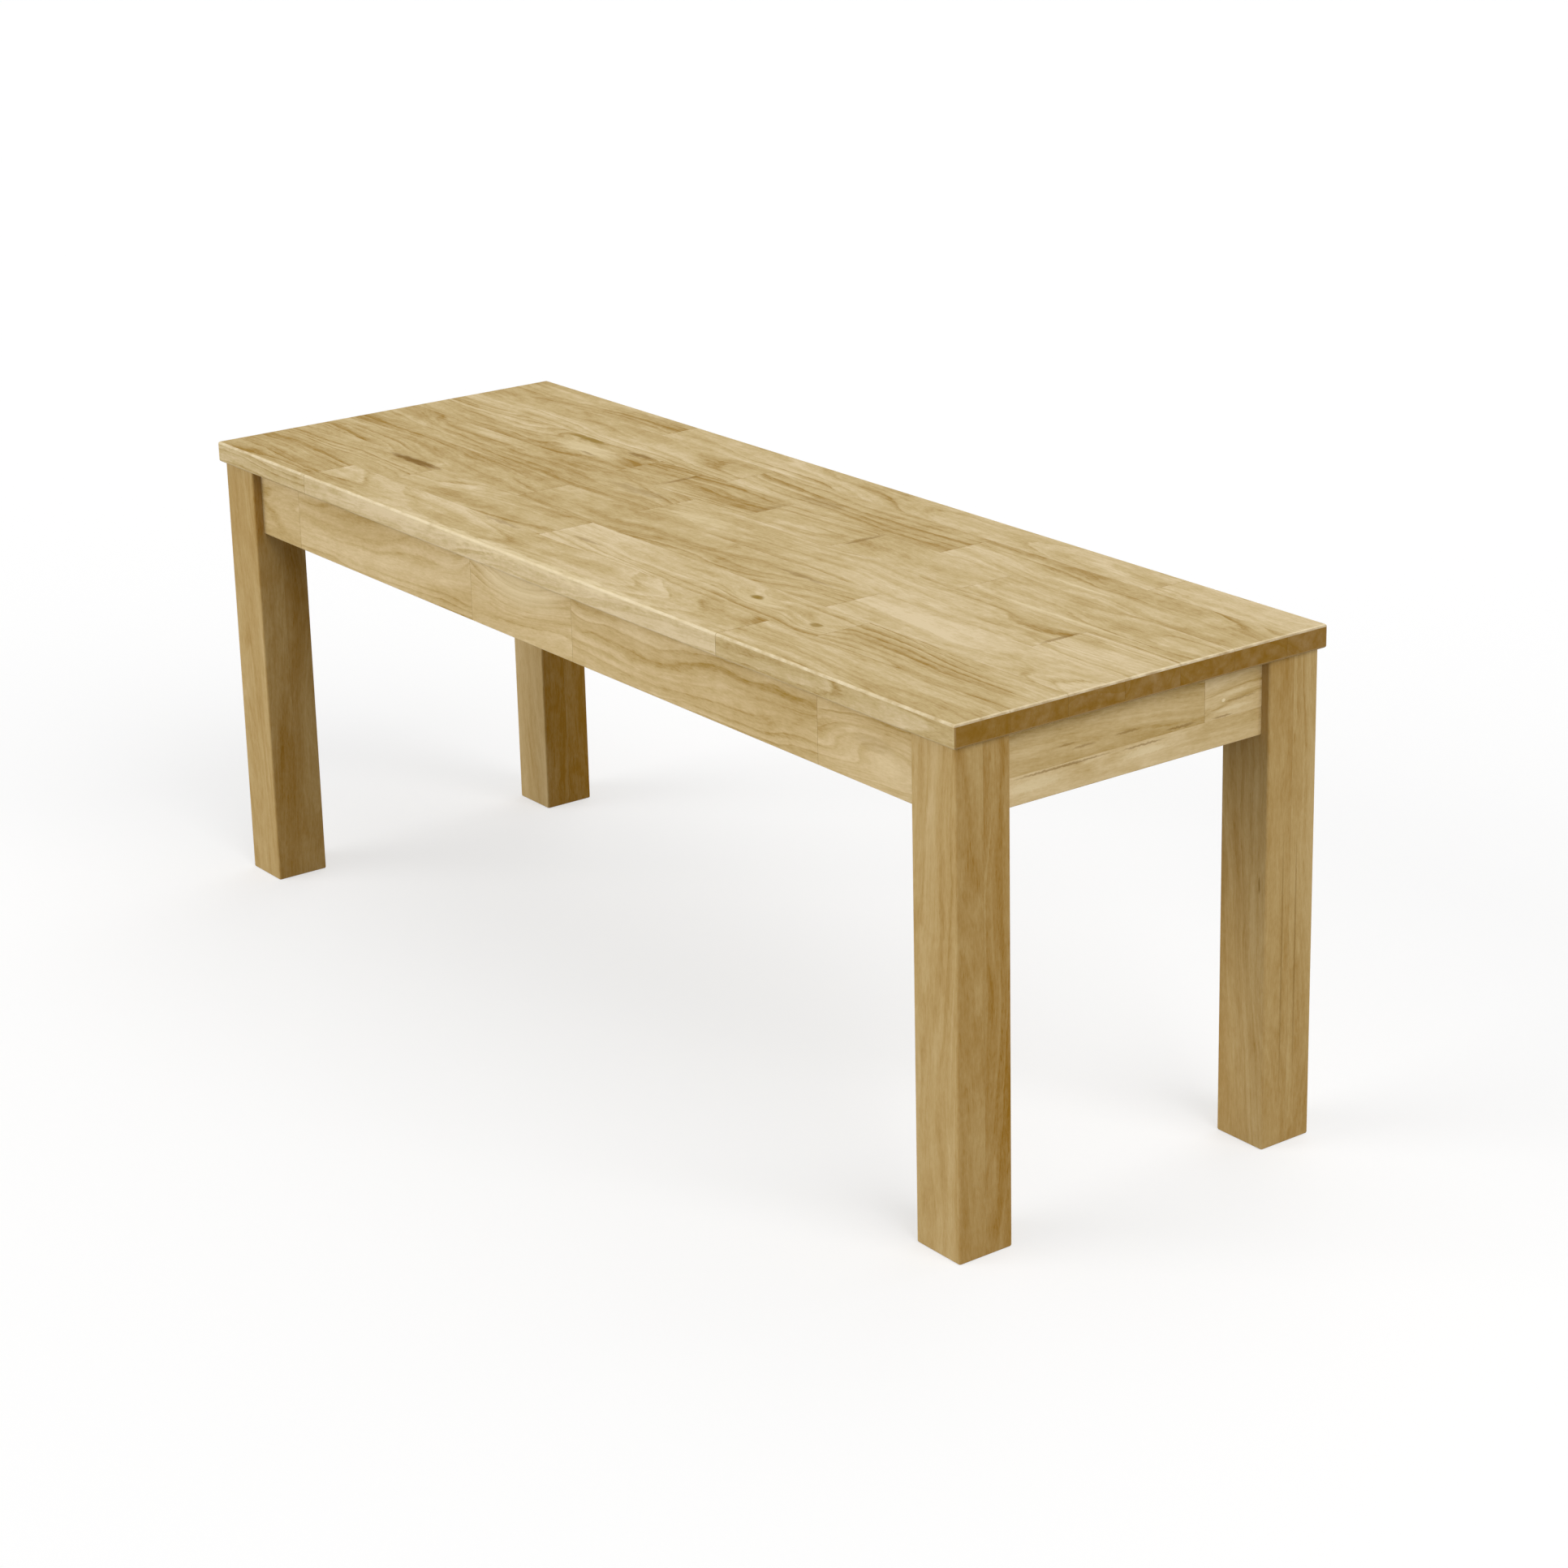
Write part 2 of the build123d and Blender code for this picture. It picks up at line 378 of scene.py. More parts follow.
@dataclass(frozen=True)
class Grain:
    """The patterns that the figure of oak is made of, with their cells along the fibres and across them."""

    wander: Pattern = Pattern((2.5, 9.0, 9.0), 2.0)
    ripple: Pattern = Pattern((9.0, 30.0, 30.0), 5.0, 0.62)
    bands: Pattern = Pattern((3.0, 120.0, 20.0), 3.0, 0.55)
    flames: Pattern = Pattern((6.0, 40.0, 40.0), 3.0)
    clouds: Pattern = Pattern((4.0, 18.0, 18.0), 2.0)
    mottle: Pattern = Pattern((45.0, 130.0, 60.0), 3.0, 0.6)
    streaks: Pattern = Pattern((8.0, 420.0, 260.0), 4.0, 0.6)
    flecks: Pattern = Pattern((170.0, 700.0, 700.0), 2.0, 0.6)
    pores: Pattern = Pattern((60.0, 1000.0, 1000.0), 2.0, 0.6)
    ring_drift: Pattern = Pattern((1.5, 60.0, 6.0), 2.0)
    ring_show: Pattern = Pattern((2.5, 40.0, 20.0), 1.0)
    edges: Pattern = Pattern((90.0, 90.0, 90.0), 4.0, 0.6)
    ragged: Pattern = Pattern((70.0, 260.0, 260.0), 3.0)


@dataclass(frozen=True)
class OakFinish:
    """Clear-oiled oak, as one material that reads each board's own grain, tone and edges.

    The fields from bands to rings say how deep each layer of the grain is, and figure scales them all.
    """

    name: str
    pale: Triple
    plain: Triple
    dark: Triple
    end_wood: Triple = (0.23, 0.11, 0.006)
    # The colour of the painted highlight on the rounded arrises.
    wear_and_highlight: Triple = (0.85, 0.74, 0.52)
    plain_place: float = 0.45
    middle: float = 0.38
    figure: float = 1.0
    bands: float = 0.9
    flames: float = 0.8
    clouds: float = 0.8
    mottle: float = 0.6
    streaks: float = 0.65
    flecks: float = 0.5
    rings: float = 0.45
    pores: float = 0.25
    loose_pores: float = 0.2
    tones: float = 0.22
    end_share: float = 0.88
    end_mottle: float = 0.5
    # How strong the painted highlight on the rounded arrises is.
    arris_lift: float = 0.3
    seam_depth: float = 0.15
    wander: float = 70.0 * MM
    ripple: float = 12.0 * MM
    ring_pitch: float = 8.0 * MM
    ring_drift: float = 2.2
    roughness: float = 0.6
    streak_roughness: float = 0.25
    pore_roughness: float = 0.12
    specular: float = 0.03
    streak_relief: float = 0.5
    pore_relief: float = 0.6
    relief_strength: float = 0.25
    relief_height: float = 0.25 * MM
    grain: Grain = Grain()
    marks: tuple[Mark, ...] = ()

    def material(self) -> bpy.types.Material:
        """Builds the material.

        Returns:
            The new material, ready to be assigned.
        """
        made, net = new_material(self.name)
        place = net.attribute(GRAIN, "Vector")
        flow, reach = self._flow(net, place)
        streaks = net.noise(flow, self.grain.streaks)
        rings = self._rings(net, flow, reach)
        pores = self._pores(net, place, rings)
        layers = (
            (net.noise(flow, self.grain.bands), self.bands),
            (net.noise(flow, self.grain.flames), self.flames),
            (net.noise(place, self.grain.clouds), self.clouds),
            (net.noise(flow, self.grain.mottle), self.mottle),
            (streaks, self.streaks),
            (net.noise(place, self.grain.flecks), self.flecks),
        )
        shade = self._shade(net, layers, rings, pores)
        colour = net.colours(shade, (0.0, self.pale), (self.plain_place, self.plain), (1.0, self.dark))
        colour = self._edges(net, colour, place)
        colour = self._marked(net, colour)
        net.link(colour, net.shader.inputs["Base Color"])
        sheen = net.math("ADD", net.swing(streaks, self.streak_roughness), self.roughness)
        sheen = net.math("MULTIPLY_ADD", pores, self.pore_roughness, sheen)
        net.link(sheen, net.shader.inputs["Roughness"])
        net.shader.inputs["Specular IOR Level"].default_value = self.specular
        raised = net.math("MULTIPLY", streaks, self.streak_relief)
        sunk = net.math("MULTIPLY", pores, self.pore_relief)
        net.relief(net.math("SUBTRACT", raised, sunk), self.relief_strength, self.relief_height)
        return made

    def _flow(self, net: Net, place: Socket) -> tuple[Socket, Socket]:
        """Follows the growth rings, which wander gently and flow round the knots.

        Args:
            net: The net being built.
            place: The wood's own coordinates, with the fibres along X and the pith at zero.

        Returns:
            The place along the fibres, out from the pith and round it, and the distance from the pith alone.
        """
        wander = net.sway(net.noise(place, self.grain.wander, "Color"), self.wander)
        ripple = net.sway(net.noise(place, self.grain.ripple, "Color"), self.ripple)
        bent = net.vector("ADD", net.vector("ADD", place, wander), ripple)
        reach = net.vector("LENGTH", net.vector("MULTIPLY", bent, (0.0, 1.0, 1.0)), output="Value")
        for mark in self.marks:
            if mark.swirl:
                away = self._away(net, net.object_place(), mark, mark.swirl_reach)
                near = net.math("MAXIMUM", net.math("SUBTRACT", 1.0, net.math("MULTIPLY", away, away)), 0.0)
                near = net.math("MULTIPLY", near, near)
                reach = net.math("MULTIPLY_ADD", near, mark.swirl, reach)
        along, across, _ = net.parts(bent)
        return net.joined(along, reach, across), reach

    @staticmethod
    def _away(net: Net, spot: Socket, mark: Mark, reach: float = 1.0) -> Socket:
        """How far a spot is from a mark.

        Args:
            net: The net being built.
            spot: The spot, in the bench's own coordinates.
            mark: The mark.
            reach: What the mark's half sizes are multiplied by first.

        Returns:
            The distance, as a share of those sizes.
        """
        shares = tuple(1.0 / (half * reach) if half else 0.0 for half in mark.half)
        moved = net.vector("MULTIPLY", net.vector("SUBTRACT", spot, mark.place), shares)
        return net.vector("LENGTH", moved, output="Value")

    def _rings(self, net: Net, flow: Socket, reach: Socket) -> Socket:
        """The yearly rings: each starts with a dark porous line and ends smooth, and some hardly show.

        Args:
            net: The net being built.
            flow: The place along the fibres, out from the pith and round it.
            reach: The distance from the pith.

        Returns:
            A value from 0, smooth late wood, to 1, the porous start of a ring.
        """
        drift = net.math("MULTIPLY", net.noise(flow, self.grain.ring_drift), self.ring_drift)
        phase = net.math("FRACT", net.math("MULTIPLY_ADD", reach, 1.0 / self.ring_pitch, drift))
        shown = net.ramp(net.noise(flow, self.grain.ring_show), RING_SHOW)
        return net.math("MULTIPLY", net.ramp(phase, RING_LINE), shown)

    def _pores(self, net: Net, place: Socket, rings: Socket) -> Socket:
        """Short dark dashes along the fibres, as open pores show in oak.

        Args:
            net: The net being built.
            place: The wood's own coordinates.
            rings: The yearly rings, which gather the pores.

        Returns:
            A value that is 1 in a pore and 0 between pores.
        """
        dashes = net.ramp(net.noise(place, self.grain.pores), PORE_DASH)
        crowd = net.math("MULTIPLY_ADD", rings, 1.0 - self.loose_pores, self.loose_pores)
        return net.math("MULTIPLY", dashes, crowd)

    def _shade(
        self, net: Net, layers: tuple[tuple[Socket, float], ...], rings: Socket, pores: Socket
    ) -> Socket:
        """How dark the wood is, from all that its grain and its own tone add.

        Args:
            net: The net being built.
            layers: The layers of the grain, each about a half, with its depth.
            rings: The yearly rings.
            pores: The pores.

        Returns:
            A value from 0, the palest wood, to 1, the darkest.
        """
        shade = self.middle
        for layer, depth in layers:
            shade = net.math("ADD", net.swing(layer, depth * self.figure), shade)
        shade = net.math("MULTIPLY_ADD", rings, self.rings * self.figure, shade)
        shade = net.math("MULTIPLY_ADD", pores, self.pores, shade)
        shade = net.math("MULTIPLY_ADD", net.attribute(TONE_AND_SHADING), -self.tones, shade)
        return net.math("MAXIMUM", shade, 0.0)

    def _edges(self, net: Net, colour: Socket, place: Socket) -> Socket:
        """Darkens the end grain and the glue lines, and paints a highlight on the rounded arrises.

        Args:
            net: The net being built.
            colour: The colour of the wood.
            place: The wood's own coordinates.

        Returns:
            The colour with its edges.
        """
        mottle = net.noise(place, self.grain.edges)
        end_share = net.math("ADD", net.swing(mottle, self.end_mottle), self.end_share)
        for name, share, over in (
            (END_GRAIN, end_share, self.end_wood),
            (ARRIS, net.ramp(mottle, ARRIS_HIGHLIGHT_BREAKS, self.arris_lift), self.wear_and_highlight),
            (SEAM, self.seam_depth, UMBER),
        ):
            colour = net.blend(net.math("MULTIPLY", net.attribute(name), share), colour, over)
        return colour

    def _marked(self, net: Net, colour: Socket) -> Socket:
        """Draws the marks by their places on the bench.

        Args:
            net: The net being built.
            colour: The colour of the wood.

        Returns:
            The colour with its marks.
        """
        if not self.marks:
            return colour
        spot = net.object_place()
        wobble = net.vector("SUBTRACT", net.noise(spot, self.grain.ragged, "Color"), NOISE_MIDDLE)
        for mark in self.marks:
            moved = net.vector("MULTIPLY_ADD", wobble, (mark.ragged,) * 3, spot)
            share = net.ramp(self._away(net, moved, mark), MARK_FADE, mark.depth)
            colour = net.blend(share, colour, mark.colour)
        return colour


@dataclass(frozen=True)
class ZincFinish:
    """Yellowish zinc plate on the wood screws."""

    name: str = "zinc_plate"
    colour: Triple = (0.62, 0.58, 0.46)
    wear_and_highlight: Triple = (0.42, 0.39, 0.3)
    wear: float = 0.6
    roughness: float = 0.34
    grit_roughness: float = 0.3
    relief_strength: float = 0.2
    relief_height: float = 0.05 * MM
    grit: Pattern = Pattern((900.0, 900.0, 900.0), 3.0, 0.6)

    def material(self) -> bpy.types.Material:
        """Builds the material.

        Returns:
            The new material, ready to be assigned.
        """
        made, net = new_material(self.name)
        grit = net.noise(net.object_place(), self.grit)
        colour = net.blend(net.math("MULTIPLY", grit, self.wear), (*self.colour, 1.0), self.wear_and_highlight)
        net.link(colour, net.shader.inputs["Base Color"])
        net.shader.inputs["Metallic"].default_value = 1.0
        sheen = net.math("ADD", net.swing(grit, self.grit_roughness), self.roughness)
        net.link(sheen, net.shader.inputs["Roughness"])
        net.relief(grit, self.relief_strength, self.relief_height)
        return made


class Shaper:
    """The few modelling steps that every piece is made with."""

    # The profile of a bevel that is rounded like a quarter of a circle.
    ROUND = 0.5

    @staticmethod
    def only(piece: bpy.types.Object) -> None:
        """Makes a piece the only one selected, and the active one.

        Args:
            piece: The piece.
        """
        bpy.ops.object.select_all(action="DESELECT")
        piece.select_set(True)
        bpy.context.view_layer.objects.active = piece

    @classmethod
    def settle(cls, piece: bpy.types.Object, name: str) -> bpy.types.Object:
        """Names a new piece and writes its place, turn and size into its mesh.

        Args:
            piece: The new piece.
            name: Its name.

        Returns:
            The same piece.
        """
        piece.name = name
        piece.data.name = name
        cls.only(piece)
        bpy.ops.object.transform_apply(location=True, rotation=True, scale=True)
        return piece

    @classmethod
    def box(cls, name: str, low: Vector, high: Vector) -> bpy.types.Object:
        """A box between two corners.

        Args:
            name: Its name.
            low: Its lowest corner.
            high: Its highest corner.

        Returns:
            The new object.
        """
        bpy.ops.object.select_all(action="DESELECT")
        bpy.ops.mesh.primitive_cube_add(size=1.0, location=(low + high) / 2)
        bpy.context.object.scale = high - low
        return cls.settle(bpy.context.object, name)

    @classmethod
    def bar(
        cls, name: str, start: Vector, end: Vector, radius: float, sides: int, tip: float | None = None
    ) -> bpy.types.Object:
        """A round bar or cone between two points.

        Args:
            name: Its name.
            start: The middle of its first end.
            end: The middle of its other end.
            radius: Its radius at the start.
            sides: Its sides.
            tip: Its radius at the end, where that is another one.

        Returns:
            The new object.
        """
        bpy.ops.object.select_all(action="DESELECT")
        run = end - start
        bpy.ops.mesh.primitive_cone_add(
            vertices=sides,
            radius1=radius,
            radius2=radius if tip is None else tip,
            depth=run.length,
            location=(start + end) / 2,
            rotation=run.to_track_quat("Z", "Y").to_euler(),
        )
        return cls.settle(bpy.context.object, name)

    @classmethod
    def combine(cls, piece: bpy.types.Object, tool: bpy.types.Object, joinery: Joinery) -> None:
        """Cuts a tool out of a piece, or grows the piece by it, and removes the tool.

        Args:
            piece: The piece being shaped.
            tool: The object to cut or grow with.
            joinery: Which of the two.
        """
        cls.only(piece)
        step = piece.modifiers.new(joinery.name, "BOOLEAN")
        step.operation = joinery.value
        step.solver = "EXACT"
        step.object = tool
        bpy.ops.object.modifier_apply(modifier=step.name)
        bpy.data.objects.remove(tool)

    @classmethod
    def combine_box(cls, piece: bpy.types.Object, box: Box, joinery: Joinery) -> None:
        """Cuts a box out of a piece, or grows the piece by it."""
        cls.combine(piece, cls.box("box_tool", *box), joinery)

    @classmethod
    def bevel(cls, piece: bpy.types.Object, wanted: EdgeTest, width: float, steps: int = 1) -> None:
        """Bevels the edges that a test picks by their two ends.

        Args:
            piece: The piece being shaped.
            wanted: The test.
            width: The bevel's width.
            steps: Its segments.
        """
        cls.only(piece)
        bpy.ops.object.mode_set(mode="EDIT")
        bpy.ops.mesh.select_mode(type="EDGE")
        bpy.ops.mesh.select_all(action="DESELECT")
        bpy.ops.object.mode_set(mode="OBJECT")
        mesh = piece.data
        for edge in mesh.edges:
            edge.select = wanted([mesh.vertices[index].co for index in edge.vertices])
        found = any(edge.select for edge in mesh.edges)
        bpy.ops.object.mode_set(mode="EDIT")
        if found:
            bpy.ops.mesh.bevel(offset=width, segments=steps, profile=cls.ROUND)
        bpy.ops.object.mode_set(mode="OBJECT")

    @classmethod
    def slice(cls, piece: bpy.types.Object, point: Vector, outward: Vector) -> None:
        """Cuts off all that lies beyond a plane and closes the cut.

        Args:
            piece: The piece being shaped.
            point: A point on the plane.
            outward: The plane's normal, towards the side that goes.
        """
        cls.only(piece)
        bpy.ops.object.mode_set(mode="EDIT")
        bpy.ops.mesh.select_all(action="SELECT")
        bpy.ops.mesh.bisect(plane_co=point, plane_no=outward, use_fill=True, clear_outer=True)
        bpy.ops.object.mode_set(mode="OBJECT")

    @classmethod
    def join(cls, parts: list[bpy.types.Object], name: str) -> bpy.types.Object:
        """Joins several objects into one.

        Args:
            parts: The objects.
            name: The name of what they become.

        Returns:
            The joined object.
        """
        cls.only(parts[0])
        for part in parts:
            part.select_set(True)
        bpy.ops.object.join()
        parts[0].name = name
        parts[0].data.name = name
        return parts[0]

    @classmethod
    def copied(cls, model: bpy.types.Object, name: str, place: Vector, point: Vector) -> bpy.types.Object:
        """Copies a piece that was modelled at the origin, with a mesh of its own.

        Args:
            model: The piece.
            name: The copy's name.
            place: Where the origin goes.
            point: The unit direction that the piece's Z axis is turned to.

        Returns:
            The copy.
        """
        copy = model.copy()
        copy.data = model.data.copy()
        bpy.context.scene.collection.objects.link(copy)
        copy.matrix_world = Matrix.Translation(place) @ point.to_track_quat("Z", "Y").to_matrix().to_4x4()
        return cls.settle(copy, name)

    @classmethod
    def smooth(cls, piece: bpy.types.Object, angle: float = math.radians(40.0)) -> None:
        """Smooths the rounded edges and keeps flat faces flat.

        Args:
            piece: The modelled piece.
            angle: The sharpest edge that is smoothed.
        """
        cls.only(piece)
        bpy.ops.object.shade_smooth_by_angle(angle=angle)
        step = piece.modifiers.new("weighted", "WEIGHTED_NORMAL")
        step.keep_sharp = True
        bpy.ops.object.modifier_apply(modifier=step.name)


def corners(points: list[Vector]) -> Box:
    """The box round several points.

    Args:
        points: The points.

    Returns:
        Its lowest and highest corner.
    """
    low = Vector([min(point[axis] for point in points) for axis in (X, Y, Z)])
    high = Vector([max(point[axis] for point in points) for axis in (X, Y, Z)])
    return low, high


def union_box(nodes: list[str]) -> Box:
    """The lowest and highest corner of several nodes together."""
    return corners([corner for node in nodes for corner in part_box(node)])


def respanned(box: Box, spans: dict[int, tuple[float, float]]) -> Box:
    """A copy of a box that reaches between new ends along some axes.

    Args:
        box: The box.
        spans: The two ends along each of those axes, in any order.

    Returns:
        The lowest and highest corner of the copy.
    """
    low, high = Vector(box[0]), Vector(box[1])
    for axis, ends in spans.items():
        low[axis], high[axis] = sorted(ends)
    return low, high


def faces_of(low: Vector, high: Vector) -> list[Plane]:
    """The six planes of a box, as axis and value."""
    return [(axis, corner[axis]) for corner in (low, high) for axis in (X, Y, Z)]


def among(plane: Plane, others: Iterable[Plane]) -> bool:
    """True if a plane is one of the others."""
    return any(plane[0] == axis and abs(plane[1] - value) < NEAR for axis, value in others)


def on_planes(ends: list[Vector], planes: Planes) -> int:
    """How many of these planes an edge lies on."""
    return sum(all(abs(end[axis] - value) < NEAR for end in ends) for axis, value in planes)


def every_edge(_ends: list[Vector]) -> bool:
    """True for any edge."""
    return True


def dress(piece: bpy.types.Object, material: bpy.types.Material, node: str) -> None:
    """Gives a finished piece its material and its place in the frame, and hides the node that it stands for.

    Args:
        piece: The finished piece.
        material: Its material.
        node: The node of the frame that it replaces.
    """
    piece.data.materials.clear()
    piece.data.materials.append(material)
    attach(piece, ROOT)
    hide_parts(node)
    log.info("%s stands for %s", piece.name, node)


@dataclass(kw_only=True)
class Timber:
    """One piece of solid oak, as far as its grain goes.

    It is sawn from its own place in a log, between pith_near and pith_far from the pith. The spreads are how
    far chance may tilt and turn it there, move it along the log and change its tone.
    """

    name: str
    lie: Lie
    shade: Shade
    # Added to faces turned to +X and to the front: partly the wood's own tone, partly painted shade and
    # light.
    end_tone: float = 0.0
    front_tone: float = 0.0
    tilt_spread: float = 0.1
    turn_spread: float = 0.07
    log_spread: float = 30.0
    pith_near: float = 20.0 * MM
    pith_far: float = 90.0 * MM
    tone_spread: float = 0.15
    # The share of the painted highlight on arrises that face down or sideways.
    sideways_highlight: float = 0.2

    def finish(self, piece: bpy.types.Object, seams: Planes = (), seam_width: float = 0.0) -> None:
        """Smooths a modelled piece and writes what the oak finish reads.

        Args:
            piece: The modelled piece.
            seams: The planes of its glued faces.
            seam_width: The width of the bevels beside them.
        """
        Shaper.smooth(piece)
        rng = random.Random(self.name)
        self._write_grain(piece.data, rng)
        self._write_edges(piece.data, seams, seam_width)

    def _write_grain(self, mesh: bpy.types.Mesh, rng: random.Random) -> None:
        """Gives each point its place in the log that the piece was sawn from, and each face its tone and
        painted shading.

        Args:
            mesh: The piece's mesh.
            rng: The piece's own source of chance.
        """
        low, high = corners([vertex.co for vertex in mesh.vertices])
        middle = (low + high) / 2
        to_fibre = Vector(self.lie.value).rotation_difference(Vector(Lie.ALONG.value)).to_matrix()
        roll = Matrix.Rotation(rng.uniform(0.0, math.tau), 3, "X")
        tilt = Matrix.Rotation(rng.uniform(-self.tilt_spread, self.tilt_spread), 3, "Y")
        turn = Matrix.Rotation(rng.uniform(-self.turn_spread, self.turn_spread), 3, "Z")
        along = rng.uniform(-self.log_spread, self.log_spread)
        pith = Vector((along, 0.0, rng.uniform(self.pith_near, self.pith_far)))
        to_log = roll @ tilt @ turn @ to_fibre
        places = []
        for vertex in mesh.vertices:
            places.extend(to_log @ (vertex.co - middle) + pith)
        mesh.attributes.new(GRAIN, "FLOAT_VECTOR", "POINT").data.foreach_set("vector", places)
        tone = self.shade.value + rng.uniform(-self.tone_spread, self.tone_spread)
        tones = []
        for face in mesh.polygons:
            # Faces turned to +X and to the front take painted shade and light besides the wood's tone.
            to_end, to_front = max(face.normal.x, 0.0), max(-face.normal.y, 0.0)
            tones.append(tone + self.end_tone * to_end + self.front_tone * to_front)
        mesh.attributes.new(TONE_AND_SHADING, "FLOAT", "FACE").data.foreach_set("value", tones)

    def _write_edges(self, mesh: bpy.types.Mesh, seams: Planes, seam_width: float) -> None:
        """Marks the faces of arrises, of glue-line bevels and of end grain.

        Args:
            mesh: The piece's mesh.
            seams: The planes of its glued faces.
            seam_width: The width of the bevels beside them.
        """
        fibre = Vector(self.lie.value)
        marks = {ARRIS: [], SEAM: [], END_GRAIN: []}
        for face in mesh.polygons:
            flat = max(abs(part) for part in face.normal) > FLAT_NORMAL
            at_seam = any(abs(face.center[axis] - value) < seam_width for axis, value in seams)
            marks[SEAM].append(float(at_seam and not flat))
            # Arrises that face up take the full painted highlight, the others a share of it.
            arris_highlight = 1.0 if face.normal.z > UPWARD_NORMAL else self.sideways_highlight
            marks[ARRIS].append(0.0 if at_seam or flat else arris_highlight)
            marks[END_GRAIN].append(float(abs(face.normal.dot(fibre)) > END_NORMAL))
        for name, values in marks.items():
            mesh.attributes.new(name, "FLOAT", "FACE").data.foreach_set("value", values)


@dataclass(kw_only=True)
class Board(Timber):
    """One stave or lamination: planed, with rounded outer arrises and fine bevels at its glue lines."""

    low: Vector
    high: Vector
    rounded: Planes
    seams: Planes
    round_radius: float = 2.0 * MM
    round_steps: int = 4
    seam_width: float = 0.15 * MM

    def build(self) -> bpy.types.Object:
        """Models the board with its rounded arrises.

        Returns:
            The new object.
        """
        piece = Shaper.box(self.name, self.low, self.high)
        Shaper.bevel(
            piece, lambda ends: on_planes(ends, self.rounded) == 2, self.round_radius, self.round_steps
        )
        return piece

    def bevel_seams(self, piece: bpy.types.Object) -> None:
        """Bevels the edges round the glued faces."""
        Shaper.bevel(piece, lambda ends: on_planes(ends, self.seams) > 0, self.seam_width)

    def complete(self, piece: bpy.types.Object, material: bpy.types.Material, node: str, slot: str) -> None:
        """Finishes and dresses the modelled board.

        Args:
            piece: The modelled board.
            material: Its oak.
            node: The node of the frame that it replaces.
            slot: Not used.
        """
        self.finish(piece, self.seams, self.seam_width)
        dress(piece, material, node)


@dataclass
class StavedTop:
    """The seat: rows of staves glued edge to edge, front row first."""

    nodes: list[str]
    shades: dict[int, tuple[Shade, ...]]
    slot: str = "top_oak"
    edge_round: float = 2.0 * MM
    # Added to the front faces of the front row: painted light that makes the front edge paler, with a tone
    # for each stave.
    front_light_and_tones: tuple[float, ...] = (1.3, 0.8, 0.2)

    def build(self, material: bpy.types.Material) -> None:
        """Models and dresses every stave.

        Args:
            material: The oak of the top.
        """
        outer = faces_of(*union_box(self.nodes))
        for node in self.nodes:
            _, _, row, _, number = node.split("_")
            low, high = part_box(node)
            planes = faces_of(low, high)
            board = Board(
                name=f"seat_{row}_{number}",
                lie=Lie.ALONG,
                shade=self.shades[int(row)][int(number) - 1],
                low=low,
                high=high,
                rounded=tuple(plane for plane in planes if among(plane, outer)),
                seams=tuple(plane for plane in planes if not among(plane, outer)),
                round_radius=self.edge_round,
                front_tone=self.front_light_and_tones[int(number) - 1] if row == "1" else 0.0,
            )
            piece = board.build()
            board.bevel_seams(piece)
            board.complete(piece, material, node, self.slot)


@dataclass(frozen=True)
class Tenon:
    """The tenon on an apron's end and its blind mortise in the leg."""

    thickness: float = 8.0 * MM
    shoulder: float = 10.0 * MM
    length: float = 28.0 * MM
    end_room: float = 1.0 * MM

    def body(self, apron: Box, run: int, start: float, end: float) -> Box:
        """The box that the tenon or its mortise fills.

        Args:
            apron: The corners of the whole apron.
            run: The axis along the apron.
            start: Where it starts along that axis.
            end: Where it ends.

        Returns:
            The lowest and highest corner of the box.
        """
        low, high = apron
        side = Y if run == X else X
        middle = (low[side] + high[side]) / 2
        across = (middle - self.thickness / 2, middle + self.thickness / 2)
        upright = (low.z + self.shoulder, high.z - self.shoulder)
        return respanned(apron, {run: (start, end), side: across, Z: upright})


@dataclass(frozen=True)
class LegTone:
    """The shades of a leg's two laminations, and what its end and front faces add: tone, painted shade and
    light.
    """

    front: Shade
    rear: Shade
    end_face_tone_and_shading: float
    front_face_tone_and_shading: float


